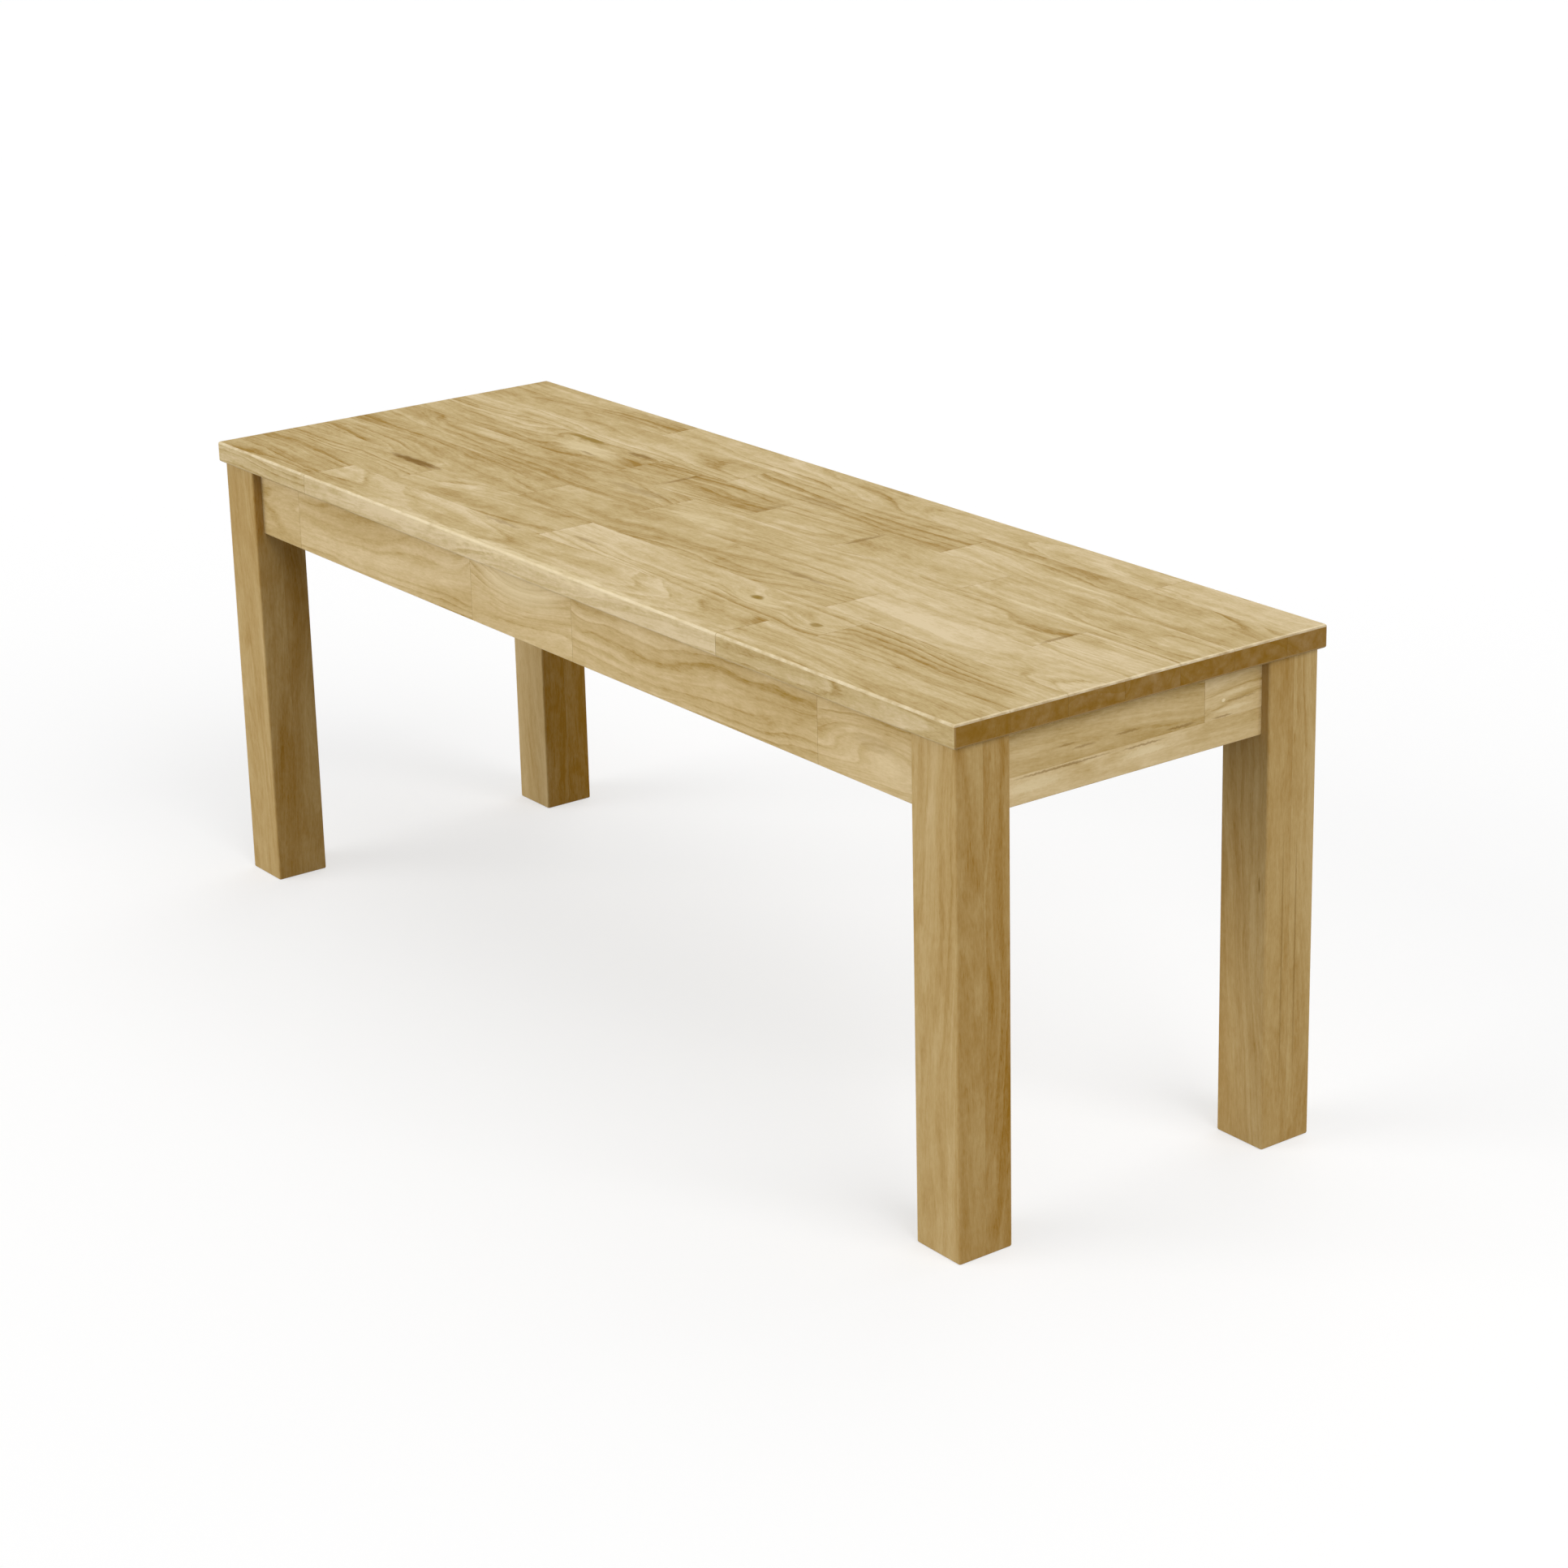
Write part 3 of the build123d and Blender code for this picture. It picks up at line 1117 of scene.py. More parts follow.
@dataclass
class Leg:
    """A square leg glued up from a front and a rear lamination, with a mortise for each apron.

    Its aprons are the boxes of the long apron and of the end one, in that order.
    """

    node: str
    tone: LegTone
    aprons: tuple[Box, Box]
    tenon: Tenon = Tenon()
    slot: str = "leg_oak"
    edge_round: float = 2.0 * MM
    foot_bevel: float = 1.5 * MM
    foot_steps: int = 2
    seam_width: float = 0.08 * MM

    def build(self, material: bpy.types.Material) -> None:
        """Models both laminations, mortises them and joins them.

        Args:
            material: The oak of the legs.
        """
        low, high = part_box(self.node)
        glue = Vector((0.0, (low.y + high.y) / 2, 0.0))
        halves = []
        for part, away, shade in (("front", 1.0, self.tone.front), ("rear", -1.0, self.tone.rear)):
            board = Board(
                name=f"{self.node}_{part}",
                lie=Lie.UPRIGHT,
                shade=shade,
                low=low,
                high=high,
                rounded=((X, low.x), (X, high.x), (Y, low.y), (Y, high.y)),
                seams=((Y, glue.y),),
                round_radius=self.edge_round,
                seam_width=self.seam_width,
                end_tone=self.tone.end_face_tone_and_shading,
                front_tone=self.tone.front_face_tone_and_shading,
            )
            piece = board.build()
            Shaper.bevel(
                piece, lambda ends: on_planes(ends, ((Z, low.z),)) > 0, self.foot_bevel, self.foot_steps
            )
            Shaper.slice(piece, glue, Vector((0.0, away, 0.0)))
            board.bevel_seams(piece)
            for mortise in self._mortises(low, high):
                Shaper.combine_box(piece, mortise, Joinery.CUT)
            board.finish(piece, board.seams, board.seam_width)
            halves.append(piece)
        dress(Shaper.join(halves, f"{self.node}_post"), material, self.node)

    def _mortises(self, low: Vector, high: Vector) -> list[Box]:
        """The boxes that the two apron tenons need.

        Args:
            low: The leg's lowest corner.
            high: Its highest corner.

        Returns:
            The low and high corner of each box.
        """
        boxes = []
        depth = self.tenon.length + self.tenon.end_room
        for run, apron in enumerate(self.aprons):
            outward = math.copysign(1.0, low[run])
            inside = low[run] if outward > 0.0 else high[run]
            boxes.append(self.tenon.body(apron, run, inside - outward * OVERRUN, inside + outward * depth))
        return boxes


@dataclass
class Apron:
    """An apron between two legs, parted into staves, with a tenon at each end and slots for the fittings."""

    nodes: list[str]
    lie: Lie
    shades: tuple[Shade, ...]
    shoulder: float
    slots: list[Box]
    tenon: Tenon = Tenon()
    slot: str = "apron_oak"
    edge_round: float = 1.0 * MM
    seam_width: float = 0.12 * MM

    def build(self, material: bpy.types.Material) -> None:
        """Models and dresses each stave.

        Args:
            material: The oak of the aprons.
        """
        run, side = (X, Y) if self.lie is Lie.ALONG else (Y, X)
        low, high = union_box(self.nodes)
        rounded = ((side, low[side]), (side, high[side]), (Z, low.z))
        plain = ((run, -self.shoulder), (run, self.shoulder), (Z, high.z))
        for node, shade in zip(self.nodes, self.shades):
            stave_low, stave_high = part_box(node)
            stave_low[run] = max(stave_low[run], -self.shoulder)
            stave_high[run] = min(stave_high[run], self.shoulder)
            planes = faces_of(stave_low, stave_high)
            board = Board(
                name=f"{node}_board",
                lie=self.lie,
                shade=shade,
                low=stave_low,
                high=stave_high,
                rounded=tuple(plane for plane in planes if among(plane, rounded)),
                seams=tuple(plane for plane in planes if not among(plane, rounded + plain)),
                round_radius=self.edge_round,
                seam_width=self.seam_width,
            )
            piece = board.build()
            board.bevel_seams(piece)
            self._add_tenons(piece, run, board, (low, high))
            for slot_low, slot_high in self.slots:
                starts_below = all(slot_low[axis] < stave_high[axis] for axis in (X, Y, Z))
                ends_above = all(slot_high[axis] > stave_low[axis] for axis in (X, Y, Z))
                if starts_below and ends_above:
                    Shaper.combine_box(piece, (slot_low, slot_high), Joinery.CUT)
            board.complete(piece, material, node, self.slot)

    def _add_tenons(self, piece: bpy.types.Object, run: int, board: Board, apron: Box) -> None:
        """Grows a tenon from each end of a board that stops at a leg.

        Args:
            piece: The modelled board.
            run: The axis along the apron.
            board: The board.
            apron: The corners of the whole apron.
        """
        for end, sign in ((board.low[run], -1.0), (board.high[run], 1.0)):
            if abs(end - sign * self.shoulder) > NEAR:
                continue
            low, high = self.tenon.body(apron, run, end - sign * OVERRUN, end + sign * self.tenon.length)
            low.z = max(low.z, board.low.z)
            high.z = min(high.z, board.high.z)
            Shaper.combine_box(piece, (low, high), Joinery.ADD)


@dataclass(frozen=True)
class Screw:
    """A pan-head wood screw with a cross recess."""

    length: float = 25.0 * MM
    radius: float = 1.95 * MM
    head_radius: float = 3.95 * MM
    head_height: float = 2.5 * MM
    head_steps: int = 4
    point_length: float = 5.0 * MM
    tip_radius: float = 0.4 * MM
    recess_width: float = 0.9 * MM
    recess_length: float = 4.2 * MM
    recess_depth: float = 1.4 * MM
    recess_turn: float = math.radians(26.0)
    sides: int = 24

    def build(self) -> bpy.types.Object:
        """Models one screw that points up, with the middle of the seat of its head at the origin.

        Returns:
            The new object.
        """
        head_top = -UP * self.head_height
        shank_end = UP * (self.length - self.point_length)
        head = Shaper.bar("screw", Vector(), head_top, self.head_radius, self.sides)
        rim = ((Z, head_top.z),)
        Shaper.bevel(head, lambda ends: on_planes(ends, rim) > 0, self.head_height / 2, self.head_steps)
        for turn in (0.0, math.pi / 2):
            Shaper.combine(head, self._recess_arm(head_top, turn), Joinery.CUT)
        shank = Shaper.bar("shank", -UP * OVERRUN, shank_end, self.radius, self.sides)
        tip = Shaper.bar("tip", shank_end, UP * self.length, self.radius, self.sides, self.tip_radius)
        for part in (shank, tip):
            Shaper.combine(head, part, Joinery.ADD)
        Shaper.smooth(head)
        return head

    def _recess_arm(self, head_top: Vector, turn: float) -> bpy.types.Object:
        """One arm of the cross recess, as a bar to cut with.

        Args:
            head_top: The middle of the top of the head.
            turn: The arm's turn about the screw, against the first one's.

        Returns:
            The bar.
        """
        half = Vector((self.recess_length / 2, self.recess_width / 2, self.recess_depth))
        arm = Shaper.box("recess", -half, half)
        turned = Matrix.Rotation(turn + self.recess_turn, 4, "Z")
        arm.matrix_world = Matrix.Translation(head_top) @ turned
        return Shaper.settle(arm, arm.name)


@dataclass(frozen=True)
class Fittings:
    """What holds the bench together underneath: corner blocks, buttons, the bearer and their screws."""

    underside: float
    inside_x: float
    inside_y: float
    buttons: tuple[str, ...]
    bearer: str = "seat_bearer"
    slot: str = "inner_oak"
    screw_slot: str = "screw_steel"
    edge: float = 0.5 * MM
    edge_steps: int = 2
    block_thickness: float = 25.0 * MM
    block_screw_place: float = 69.09 * MM
    block_screw_seat: float = 11.0 * MM
    block_screw_spacing: float = 22.0 * MM
    tongue_thickness: float = 8.0 * MM
    tongue_length: float = 8.0 * MM
    button_gap: float = 1.0 * MM
    end_zone_share: float = 0.9
    slot_room: float = 1.0 * MM
    slot_under_room: float = 0.5 * MM
    top_screw_seat: float = 13.0 * MM
    bearer_tenon_half: float = 4.0 * MM
    bearer_tenon_shoulder: float = 8.0 * MM
    bearer_screw_y: float = 64.4 * MM
    counterbore: float = 4.4 * MM
    pilot: float = 2.05 * MM
    hole_sides: int = 32
    screw: Screw = Screw()

    def slots(self) -> list[Box]:
        """The boxes to cut in the aprons for the buttons' tongues and the bearer's tenons.

        Returns:
            The low and high corner of each box.
        """
        boxes = []
        for node in self.buttons:
            low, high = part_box(node)
            run, side, sign = self._facing(low, high)
            inside = (self.inside_x, self.inside_y)[side]
            along = (low[run] - self.slot_room, high[run] + self.slot_room)
            deep = (sign * (inside - OVERRUN), sign * (inside + self.tongue_length + self.slot_room))
            upright = (low.z - self.slot_under_room, low.z + self.tongue_thickness)
            boxes.append(respanned((low, high), {run: along, side: deep, Z: upright}))
        tenons = self._bearer_tenons()
        for sign in (-1.0, 1.0):
            deep = (sign * (self.inside_y - OVERRUN), sign * (tenons[1].y + self.slot_room))
            boxes.append(respanned(tenons, {Y: deep}))
        return boxes

    def _bearer_tenons(self) -> Box:
        """The bar that forms the bearer's two stub tenons.

        Returns:
            Its lowest and highest corner.
        """
        low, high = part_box(self.bearer)
        across = (-self.bearer_tenon_half, self.bearer_tenon_half)
        upright = (low.z + self.bearer_tenon_shoulder, high.z - self.bearer_tenon_shoulder)
        return respanned((low, high), {X: across, Z: upright})

    def _facing(self, low: Vector, high: Vector) -> tuple[int, int, float]:
        """Finds the apron that a button is on.

        Args:
            low: The button's lowest corner.
            high: Its highest corner.

        Returns:
            The axis along that apron, the axis across it, and its side of the bench.
        """
        middle = (low + high) / 2
        run, side = (Y, X) if abs(middle.x) > self.inside_x * self.end_zone_share else (X, Y)
        return run, side, math.copysign(1.0, middle[side])

    def build(self, material: bpy.types.Material, zinc: bpy.types.Material) -> None:
        """Models and dresses every fitting.

        Args:
            material: The oak of the inner pieces.
            zinc: The finish of the screws.
        """
        bench_corners = [(x, y) for x in (-1.0, 1.0) for y in (-1.0, 1.0)]
        for corner in bench_corners:
            self._block(*corner, material)
        in_blocks = [place for corner in bench_corners for place in self._corner_screws(*corner)]
        at_buttons = [self._button(node, material) for node in self.buttons]
        at_bearer = self._bearer(material)
        model = self.screw.build()
        for node, places in (
            ("corner_block_screws", in_blocks),
            ("button_screws", at_buttons),
            ("seat_bearer_screws", at_bearer),
        ):
            screws = [Shaper.copied(model, f"screw_{number}", *place) for number, place in enumerate(places)]
            dress(Shaper.join(screws, f"{node}_set"), zinc, node)
        bpy.data.objects.remove(model)

    def _corner_screws(self, x: float, y: float) -> list[Seat]:
        """The places of a corner block's four screws.

        Args:
            x: The side of the bench along X.
            y: Its side along Y.

        Returns:
            The seat and direction of each.
        """
        low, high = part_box("corner_block_rear_right")
        far_x, far_y = self.inside_x - self.block_screw_place, self.inside_y - self.block_screw_place
        near_x, near_y = self.inside_x - self.block_screw_seat, self.inside_y - self.block_screw_seat
        places = []
        for step in (-0.5, 0.5):
            z = (low.z + high.z) / 2 + step * self.block_screw_spacing
            places.append((Vector((x * far_x, y * near_y, z)), Vector((0.0, y, 0.0))))
            places.append((Vector((x * near_x, y * far_y, z)), Vector((x, 0.0, 0.0))))
        return places

    def _bore(self, piece: bpy.types.Object, seat: Vector, point: Vector, depth: float) -> None:
        """Bores a piece for a screw: a counterbore behind its seat and a pilot hole ahead of it.

        Args:
            piece: The piece being shaped.
            seat: The middle of the seat of the screw's head.
            point: The unit direction that the screw points in.
            depth: How far the counterbore reaches.
        """
        behind = seat - point * depth
        wide = Shaper.bar("counterbore", behind, seat, self.counterbore, self.hole_sides)
        Shaper.combine(piece, wide, Joinery.CUT)
        ahead = seat + point * (self.screw.length + OVERRUN)
        narrow = Shaper.bar("pilot", seat - point * OVERRUN, ahead, self.pilot, self.screw.sides)
        Shaper.combine(piece, narrow, Joinery.CUT)

    def _block(self, x: float, y: float, material: bpy.types.Material) -> None:
        """Models a corner block, mitred to both aprons.

        Args:
            x: The side of the bench along X.
            y: Its side along Y.
            material: The oak of the inner pieces.
        """
        node = f"corner_block_{'front' if y < 0 else 'rear'}_{'left' if x < 0 else 'right'}"
        low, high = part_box(node)
        reach = high.x - low.x
        across_x, across_y = self.inside_x - reach / 2, self.inside_y - reach / 2
        middle = Vector((x * across_x, y * across_y, (low.z + high.z) / 2))
        toward = Vector((x, y, 0.0)).normalized()
        half = Vector((reach, self.block_thickness / 2, (high.z - low.z) / 2))
        piece = Shaper.box(f"{node}_timber", -half, half)
        centre = middle + toward * self.block_thickness / 2
        piece.matrix_world = Matrix.Translation(centre) @ Matrix.Rotation(-x * y * math.pi / 4, 4, "Z")
        Shaper.settle(piece, piece.name)
        Shaper.slice(piece, Vector((x * self.inside_x, 0.0, 0.0)), Vector((x, 0.0, 0.0)))
        Shaper.slice(piece, Vector((0.0, y * self.inside_y, 0.0)), Vector((0.0, y, 0.0)))
        Shaper.bevel(piece, every_edge, self.edge, self.edge_steps)
        for seat, point in self._corner_screws(x, y):
            self._bore(piece, seat, point, reach)
        lie = Lie.FALLING if x * y > 0 else Lie.RISING
        Timber(name=node, lie=lie, shade=Shade.MIDDLE).finish(piece)
        dress(piece, material, node)

    def _button(self, node: str, material: bpy.types.Material) -> Seat:
        """Models a button: a stepped block whose tongue sits in the apron's slot.

        Args:
            node: The button's node.
            material: The oak of the inner pieces.

        Returns:
            The seat and direction of its screw.
        """
        low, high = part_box(node)
        run, side, sign = self._facing(low, high)
        face = (self.inside_x, self.inside_y)[side] - self.button_gap
        beyond = face + self.button_gap + self.tongue_length + OVERRUN
        step = {
            run: (low[run] - OVERRUN, high[run] + OVERRUN),
            side: (sign * face, sign * beyond),
            Z: (low.z + self.tongue_thickness, high.z + OVERRUN),
        }
        piece = Shaper.box(f"{node}_timber", low, high)
        Shaper.combine_box(piece, respanned((low, high), step), Joinery.CUT)
        Shaper.bevel(piece, every_edge, self.edge, self.edge_steps)
        seat = (low + high) / 2
        seat[side] = ((low[side] if sign > 0.0 else high[side]) + sign * face) / 2
        seat.z = self.underside - self.top_screw_seat
        self._bore(piece, seat, UP, high.z - low.z)
        lie = Lie.ACROSS if side == Y else Lie.ALONG
        Timber(name=node, lie=lie, shade=Shade.LIGHT).finish(piece)
        dress(piece, material, node)
        return seat, UP

    def _bearer(self, material: bpy.types.Material) -> list[Seat]:
        """Models the cross rail with its stub tenons.

        Args:
            material: The oak of the inner pieces.

        Returns:
            The seats and directions of its screws.
        """
        low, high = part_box(self.bearer)
        rail = respanned((low, high), {Y: (-self.inside_y, self.inside_y)})
        piece = Shaper.box(f"{self.bearer}_rail", *rail)
        long_faces = ((X, low.x), (X, high.x), (Z, low.z))
        Shaper.bevel(piece, lambda ends: on_planes(ends, long_faces) == 2, self.edge, self.edge_steps)
        Shaper.combine_box(piece, self._bearer_tenons(), Joinery.ADD)
        places = []
        for sign in (-1.0, 1.0):
            seat = Vector((0.0, sign * self.bearer_screw_y, self.underside - self.top_screw_seat))
            self._bore(piece, seat, UP, high.z - low.z)
            places.append((seat, UP))
        Timber(name=self.bearer, lie=Lie.ACROSS, shade=Shade.MIDDLE).finish(piece)
        dress(piece, material, self.bearer)
        return places


@dataclass(frozen=True)
class Camera:
    """The photograph's camera, found from the bench's own edges."""

    azimuth: float = math.radians(53.595)
    elevation: float = math.radians(17.217)
    roll: float = math.radians(-1.365)
    distance: float = 3.4603
    target: Triple = (-0.1313, 0.1707, 0.2865)
    sensor: float = 36.0
    lens: float = 82.03
    shift_y: float = -0.1

    def build(self) -> None:
        """Adds the camera and makes it the scene's."""
        level = math.cos(self.elevation)
        away_x, away_y = math.sin(self.azimuth) * level, -math.cos(self.azimuth) * level
        back = Vector((away_x, away_y, math.sin(self.elevation)))
        right = UP.cross(back).normalized()
        up = back.cross(right)
        turned_right = right * math.cos(self.roll) + up * math.sin(self.roll)
        turned_up = up * math.cos(self.roll) - right * math.sin(self.roll)
        data = bpy.data.cameras.new("camera")
        data.sensor_width = self.sensor
        data.lens = self.lens
        data.shift_y = self.shift_y
        camera = bpy.data.objects.new("camera", data)
        bpy.context.scene.collection.objects.link(camera)
        place = Matrix((turned_right, turned_up, back)).transposed().to_4x4()
        place.translation = Vector(self.target) + back * self.distance
        camera.matrix_world = place
        bpy.context.scene.camera = camera


@dataclass(frozen=True)
class Lamp:
    """A broad soft lamp, far off, in the direction that toward points."""

    name: str
    toward: Triple
    strength: float
    softness: float

    def build(self) -> None:
        """Adds the lamp."""
        data = bpy.data.lights.new(self.name, "SUN")
        data.energy = self.strength
        data.angle = self.softness
        lamp = bpy.data.objects.new(self.name, data)
        bpy.context.scene.collection.objects.link(lamp)
        lamp.rotation_mode = "QUATERNION"
        lamp.rotation_quaternion = Vector(self.toward).to_track_quat("Z", "Y")


@dataclass(frozen=True)
class Studio:
    """A pale floor under soft light.

    The main lamp stands low at the front left, and weaker ones shine from the right, from behind and above.
    """

    key: Lamp = Lamp("key", (-0.36, -0.9, 0.25), 2.1, math.radians(50.0))
    fill: Lamp = Lamp("fill", (0.82, 0.0, 0.57), 1.8, math.radians(50.0))
    back: Lamp = Lamp("back", (-0.3, 0.75, 0.59), 0.63, math.radians(60.0))
    overhead: Lamp = Lamp("overhead", (0.0, 0.0, 1.0), 0.28, math.radians(80.0))
    sky: float = 0.3
    backdrop: float = 0.98
    floor_colour: float = 0.45
    floor_glow: float = 0.55
    floor_roughness: float = 0.9
    floor_size: float = 400.0

    def build(self) -> None:
        """Adds the floor, the world and the lamps."""
        bpy.context.scene.view_settings.view_transform = "Standard"
        self._floor()
        self._world()
        for lamp in (self.key, self.fill, self.back, self.overhead):
            lamp.build()

    @staticmethod
    def _seen(net: Net) -> Socket:
        """Tells the rays that show the backdrop from those that light the bench.

        Args:
            net: The net being built.

        Returns:
            1 for rays from the camera, mirrored ones and ones through glass, else 0.
        """
        path = net.add("ShaderNodeLightPath")
        seen = net.math("MAXIMUM", path.outputs["Is Camera Ray"], path.outputs["Is Glossy Ray"])
        return net.math("MAXIMUM", seen, path.outputs["Is Transmission Ray"])

    def _floor(self) -> None:
        """A wide floor that keeps the bench's shadow and looks near white."""
        bpy.ops.object.select_all(action="DESELECT")
        bpy.ops.mesh.primitive_plane_add(size=self.floor_size)
        floor = Shaper.settle(bpy.context.object, "studio_floor")
        made, net = new_material("pale_floor")
        net.shader.inputs["Base Color"].default_value = (self.floor_colour,) * 3 + (1.0,)
        net.shader.inputs["Roughness"].default_value = self.floor_roughness
        net.shader.inputs["Specular IOR Level"].default_value = 0.0
        net.shader.inputs["Emission Color"].default_value = (1.0, 1.0, 1.0, 1.0)
        glow = net.math("MULTIPLY", self._seen(net), self.floor_glow)
        net.link(glow, net.shader.inputs["Emission Strength"])
        floor.data.materials.append(made)

    def _world(self) -> None:
        """A faint even sky that is near white to the camera."""
        world = bpy.data.worlds.new("studio")
        bpy.context.scene.world = world
        world.use_nodes = True
        net = Net(world.node_tree)
        background = world.node_tree.nodes["Background"]
        background.inputs["Color"].default_value = (1.0, 1.0, 1.0, 1.0)
        strength = net.math("MULTIPLY_ADD", self._seen(net), self.backdrop - self.sky, self.sky)
        net.link(strength, background.inputs["Strength"])


# Where the outer face of the right apron lies along X, and how deep a mark in it goes.
END_APRON_FACE = 561.0 * MM
END_MARK_DEPTH = 4.0 * MM


def top_mark(
    x: float, y: float, half_x: float, half_y: float, depth: float, **looks: Triple | float
) -> Mark:
    """A mark that goes right through the top."""
    return Mark((x, y, 0.0), (half_x, half_y, 0.0), depth, **looks)


def front_apron_mark(
    x: float, z: float, half_x: float, half_z: float, depth: float, **looks: Triple | float
) -> Mark:
    """A mark right through the front apron, and the rear one behind it."""
    return Mark((x, 0.0, z), (half_x, 0.0, half_z), depth, **looks)


def end_apron_mark(
    y: float, z: float, half_y: float, half_z: float, depth: float, **looks: Triple | float
) -> Mark:
    """A mark in the outer face of the right apron."""
    return Mark((END_APRON_FACE, y, z), (END_MARK_DEPTH, half_y, half_z), depth, **looks)


# The staves of each row of the top, the front row first, from left to right.
TOP_SHADES = {
    1: (Shade.DARK, Shade.LIGHT, Shade.DEEP),
    2: (Shade.DEEP, Shade.MIDDLE, Shade.LIGHT, Shade.MIDDLE),
    3: (Shade.DARK, Shade.DEEP, Shade.PALE),
    4: (Shade.DEEP, Shade.MIDDLE, Shade.LIGHT),
    5: (Shade.DEEP, Shade.DEEP, Shade.DEEP, Shade.DEEP, Shade.DEEP, Shade.MIDDLE),
    6: (Shade.LIGHT, Shade.DEEP, Shade.MIDDLE),
    7: (Shade.DEEP, Shade.LIGHT, Shade.PALE),
}

# The last two numbers of each leg darken or lighten its +X face and its front face: partly the wood's own
# tone, partly painted shade and light as the bench shades them.
LEG_TONES = {
    "leg_front_left": LegTone(Shade.MIDDLE, Shade.LIGHT, -1.3, -0.2),
    "leg_front_right": LegTone(Shade.LIGHT, Shade.MIDDLE, -1.4, -0.35),
    "leg_rear_left": LegTone(Shade.MIDDLE, Shade.MIDDLE, -2.1, 0.7),
    "leg_rear_right": LegTone(Shade.MIDDLE, Shade.LIGHT, -0.8, -0.6),
}

# The staves of each apron, in the order of their nodes.
APRON_SHADES = {
    "apron_front": (Shade.LIGHT, Shade.MIDDLE, Shade.LIGHT, Shade.MIDDLE, Shade.MIDDLE),
    "apron_rear": (Shade.MIDDLE, Shade.LIGHT, Shade.DEEP, Shade.LIGHT),
    "apron_left": (Shade.LIGHT, Shade.MIDDLE, Shade.DEEP),
    # The right apron's upper front stave is DEEP partly for its own tone and partly as painted shade under
    # the top's overhang.
    "apron_right": (Shade.LIGHT, Shade.DEEP, Shade.MIDDLE),
}

TOP_MARKS = (
    # A pale band along the front arris, partly pale wood and partly a painted highlight, then pale flecks
    # and lines.
    Mark((-0.03, -0.191, 0.447), (0.3, 0.0075, 0.0065), 0.55, colour=CREAM, ragged=0.016),
    top_mark(-0.3, 0.064, 0.055, 0.017, 0.5, colour=CREAM, ragged=0.022, swirl=0.01, swirl_reach=2.0),
    top_mark(-0.02, 0.0, 0.05, 0.014, 0.35, colour=CREAM, ragged=0.022),
    top_mark(0.433, 0.046, 0.13, 0.0025, 0.5, colour=CREAM, ragged=0.004),
    top_mark(0.365, 0.114, 0.045, 0.0022, 0.5, colour=CREAM, ragged=0.004),
    top_mark(0.215, -0.113, 0.04, 0.012, 0.3, colour=CREAM, ragged=0.01),
    # Streaks of bark and two knots.
    top_mark(-0.376, -0.087, 0.05, 0.0068, 1.0, ragged=0.008, swirl=0.006, swirl_reach=2.5),
    top_mark(0.211, -0.109, 0.01, 0.0052, 0.95, colour=KNOT, ragged=0.006, swirl=0.01, swirl_reach=5.0),
    top_mark(0.306, -0.119, 0.008, 0.0046, 0.8, colour=KNOT, ragged=0.006, swirl=0.012, swirl_reach=6.0),
    top_mark(-0.335, 0.087, 0.034, 0.0055, 0.9, colour=KNOT, ragged=0.01, swirl=0.008),
    top_mark(-0.245, 0.088, 0.024, 0.0052, 0.65, ragged=0.01, swirl=0.01),
    top_mark(-0.29, 0.055, 0.02, 0.0025, 0.5, ragged=0.008),
    # Darker patches and short lines.
    top_mark(-0.14, 0.012, 0.06, 0.009, 0.28, ragged=0.02),
    top_mark(0.188, -0.0425, 0.05, 0.0035, 0.4, ragged=0.008),
    top_mark(-0.031, -0.119, 0.025, 0.0035, 0.4, ragged=0.008),
    top_mark(-0.131, -0.143, 0.034, 0.003, 0.4, ragged=0.008),
    top_mark(0.012, 0.114, 0.04, 0.012, 0.2, ragged=0.02),
    # Open joints between the ends of staves.
    top_mark(-0.145, 0.067, 0.0034, 0.027, 0.5, ragged=0.002),
    top_mark(-0.009, 0.067, 0.005, 0.026, 0.25, ragged=0.002),
    top_mark(0.131, 0.067, 0.0034, 0.027, 0.5, ragged=0.002),
    top_mark(0.4625, 0.0075, 0.003, 0.024, 0.5, ragged=0.002),
)

LEG_MARKS = (
    # Dark lines up the outer face of the rear right leg, and a fleck on its front face.
    Mark((0.57, 0.155, 0.16), (0.004, 0.0013, 0.13), 0.4, ragged=0.0012),
    Mark((0.57, 0.17, 0.17), (0.004, 0.0012, 0.12), 0.45, ragged=0.0012),
    Mark((0.562, 0.136, 0.235), (0.0013, 0.003, 0.009), 0.7, ragged=0.001),
)

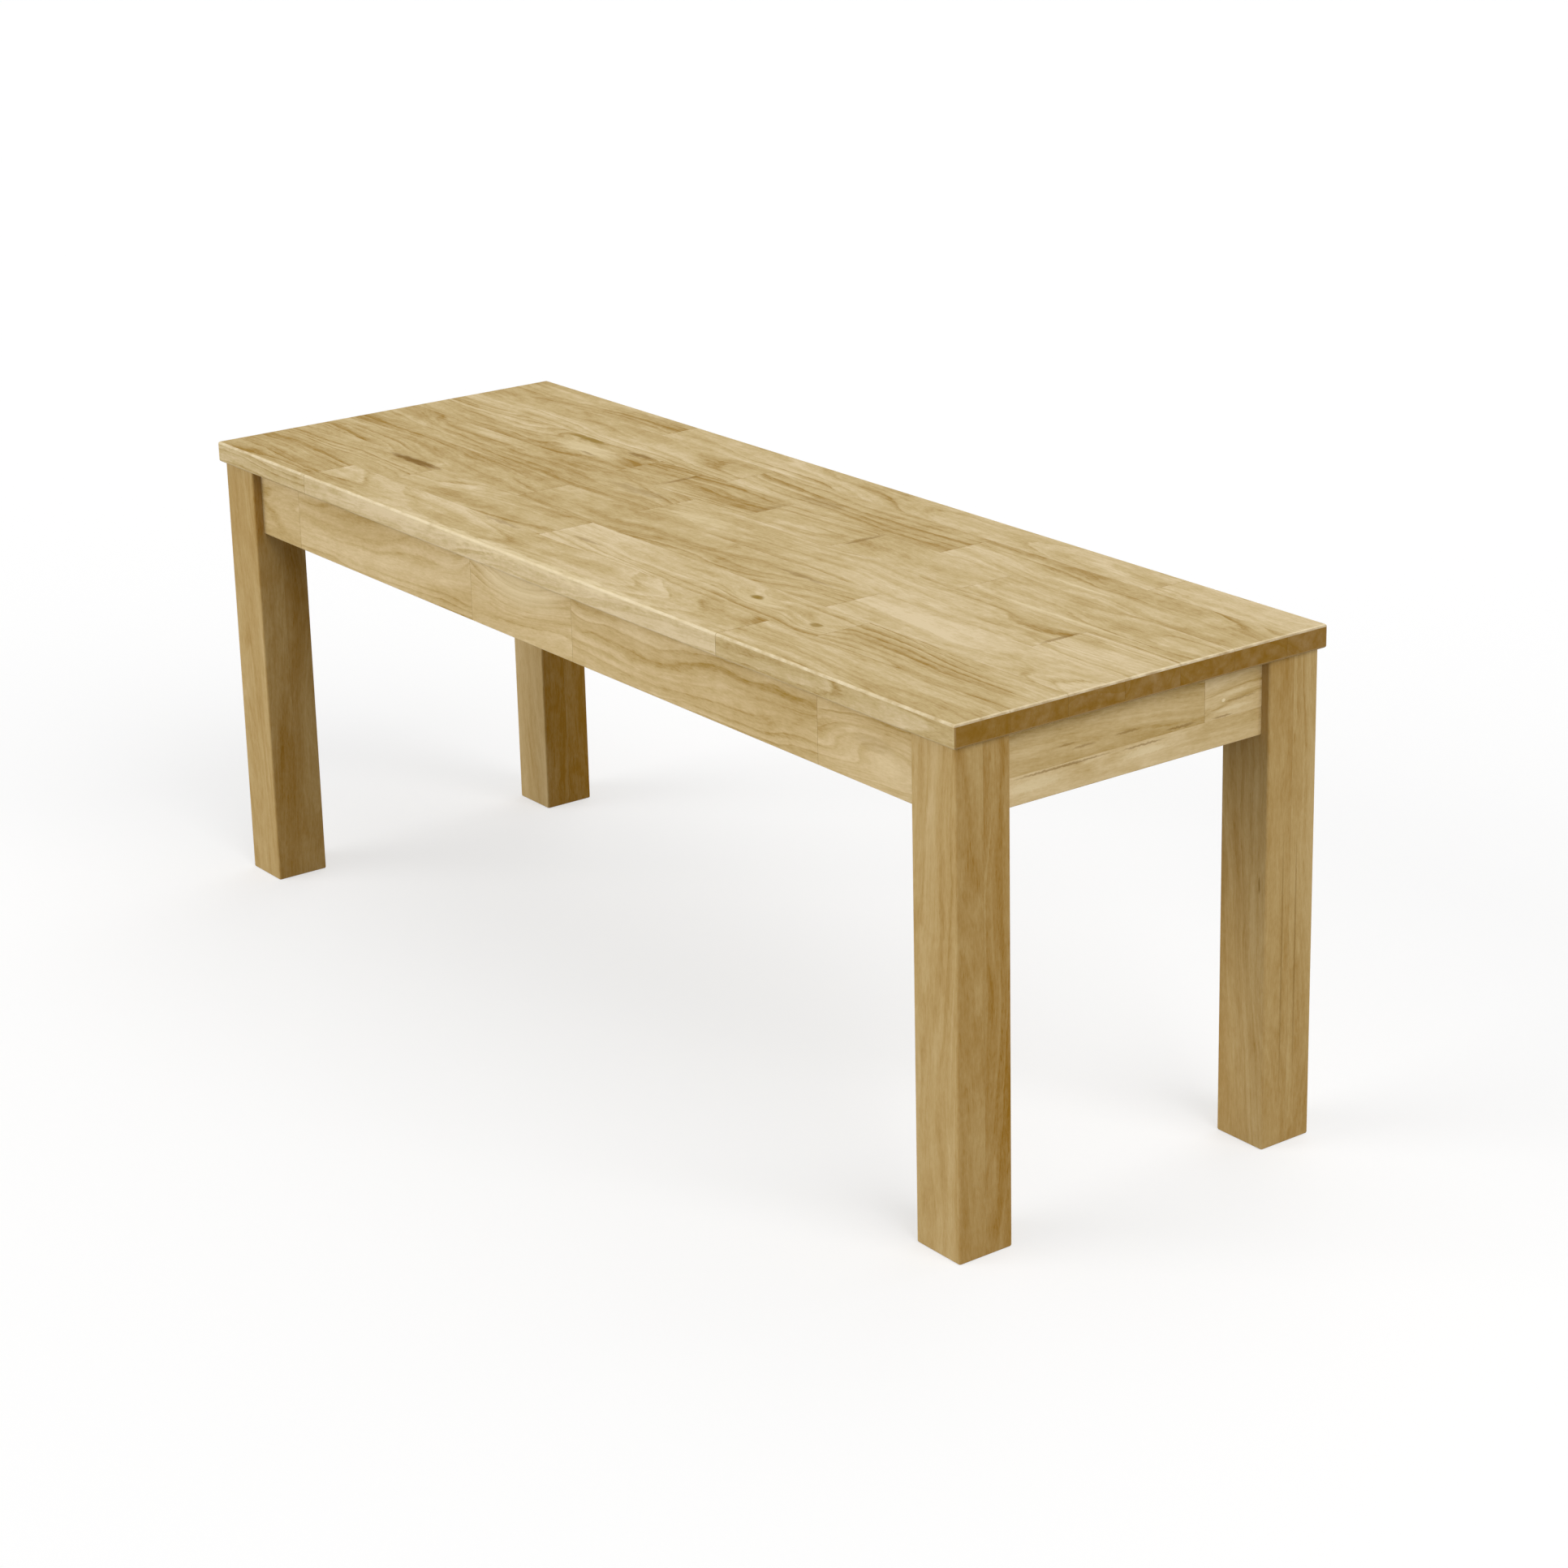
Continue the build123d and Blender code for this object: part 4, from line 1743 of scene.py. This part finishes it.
APRON_MARKS = (
    # A pale swirl and a faint knot in the front apron.
    front_apron_mark(
        -0.045, 0.425, 0.075, 0.035, 0.45, colour=CREAM, ragged=0.01, swirl=0.03, swirl_reach=1.5
    ),
    front_apron_mark(0.46, 0.402, 0.03, 0.008, 0.15, ragged=0.01, swirl=0.02, swirl_reach=3.0),
    # Pale bands and a white fleck in the right apron.
    end_apron_mark(-0.105, 0.3785, 0.034, 0.0055, 0.45, colour=CREAM, ragged=0.006),
    end_apron_mark(0.008, 0.3798, 0.03, 0.0038, 0.5, colour=CREAM, ragged=0.006),
    end_apron_mark(0.103, 0.3957, 0.027, 0.0022, 0.4, colour=CREAM, ragged=0.003),
    end_apron_mark(0.104, 0.4085, 0.024, 0.0022, 0.35, colour=CREAM, ragged=0.003),
    end_apron_mark(0.094, 0.4036, 0.0024, 0.0018, 0.95, colour=CREAM),
    # Short dark ripples in it.
    end_apron_mark(-0.075, 0.3868, 0.056, 0.0012, 0.6, ragged=0.003),
    end_apron_mark(0.008, 0.3858, 0.025, 0.0012, 0.55, ragged=0.003),
    end_apron_mark(0.048, 0.3917, 0.018, 0.0014, 0.55, ragged=0.003),
    end_apron_mark(-0.054, 0.3987, 0.014, 0.0012, 0.45, ragged=0.003),
    end_apron_mark(-0.009, 0.4, 0.015, 0.0013, 0.45, ragged=0.003),
    end_apron_mark(-0.072, 0.4035, 0.011, 0.001, 0.4, ragged=0.003),
    end_apron_mark(-0.0116, 0.4255, 0.0032, 0.0016, 0.6, ragged=0.002),
    end_apron_mark(0.093, 0.3903, 0.012, 0.001, 0.55, ragged=0.002),
    end_apron_mark(0.112, 0.402, 0.02, 0.0011, 0.35, ragged=0.003),
)


def main() -> None:
    """Builds the bench's looks in order, then the camera and the studio."""
    logging.basicConfig(level=logging.INFO, format="%(name)s: %(message)s")
    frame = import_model()
    nodes = sorted(frame["nodes"])

    top_oak = OakFinish(
        "top_oak",
        pale=(0.705, 0.57, 0.355),
        plain=(0.54, 0.41, 0.2),
        dark=(0.32, 0.188, 0.036),
        figure=0.92,
        arris_lift=0.75,
        marks=TOP_MARKS,
    )
    top_nodes = [node for node in nodes if node.startswith("top_row")]
    StavedTop(top_nodes, TOP_SHADES).build(top_oak.material())

    leg_oak = OakFinish(
        "leg_oak",
        pale=(0.63, 0.48, 0.26),
        plain=(0.485, 0.335, 0.138),
        dark=(0.29, 0.142, 0.013),
        middle=0.42,
        figure=0.55,
        rings=0.2,
        arris_lift=0.1,
        marks=LEG_MARKS,
    )
    leg_material = leg_oak.material()
    apron_nodes = {name: [node for node in nodes if node.startswith(name)] for name in APRON_SHADES}
    boxes = {name: union_box(members) for name, members in apron_nodes.items()}
    for node, tone in LEG_TONES.items():
        _, long_name, end_name = node.split("_")
        held = (boxes[f"apron_{long_name}"], boxes[f"apron_{end_name}"])
        Leg(node, tone, held).build(leg_material)

    buttons = tuple(node for node in nodes if node.startswith("button_") and not node.endswith("screws"))
    underside = union_box(top_nodes)[0].z
    fittings = Fittings(underside, boxes["apron_right"][0].x, boxes["apron_rear"][0].y, buttons)

    apron_oak = OakFinish(
        "apron_oak",
        pale=(0.73, 0.58, 0.34),
        plain=(0.575, 0.425, 0.205),
        dark=(0.37, 0.23, 0.05),
        figure=0.8,
        marks=APRON_MARKS,
    )
    apron_material = apron_oak.material()
    along = (Lie.ALONG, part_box("leg_front_right")[0].x)
    across = (Lie.ACROSS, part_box("leg_rear_right")[0].y)
    for name, shades in APRON_SHADES.items():
        lie, shoulder = along if name in ("apron_front", "apron_rear") else across
        Apron(apron_nodes[name], lie, shades, shoulder, fittings.slots()).build(apron_material)

    inner_oak = OakFinish(
        "inner_oak",
        pale=(0.66, 0.52, 0.32),
        plain=(0.53, 0.4, 0.23),
        dark=(0.38, 0.26, 0.12),
        roughness=0.62,
    )
    fittings.build(inner_oak.material(), ZincFinish().material())

    Camera().build()
    Studio().build()
    log.info("%d nodes dressed", len(nodes))


if __name__ == "__main__":
    main()
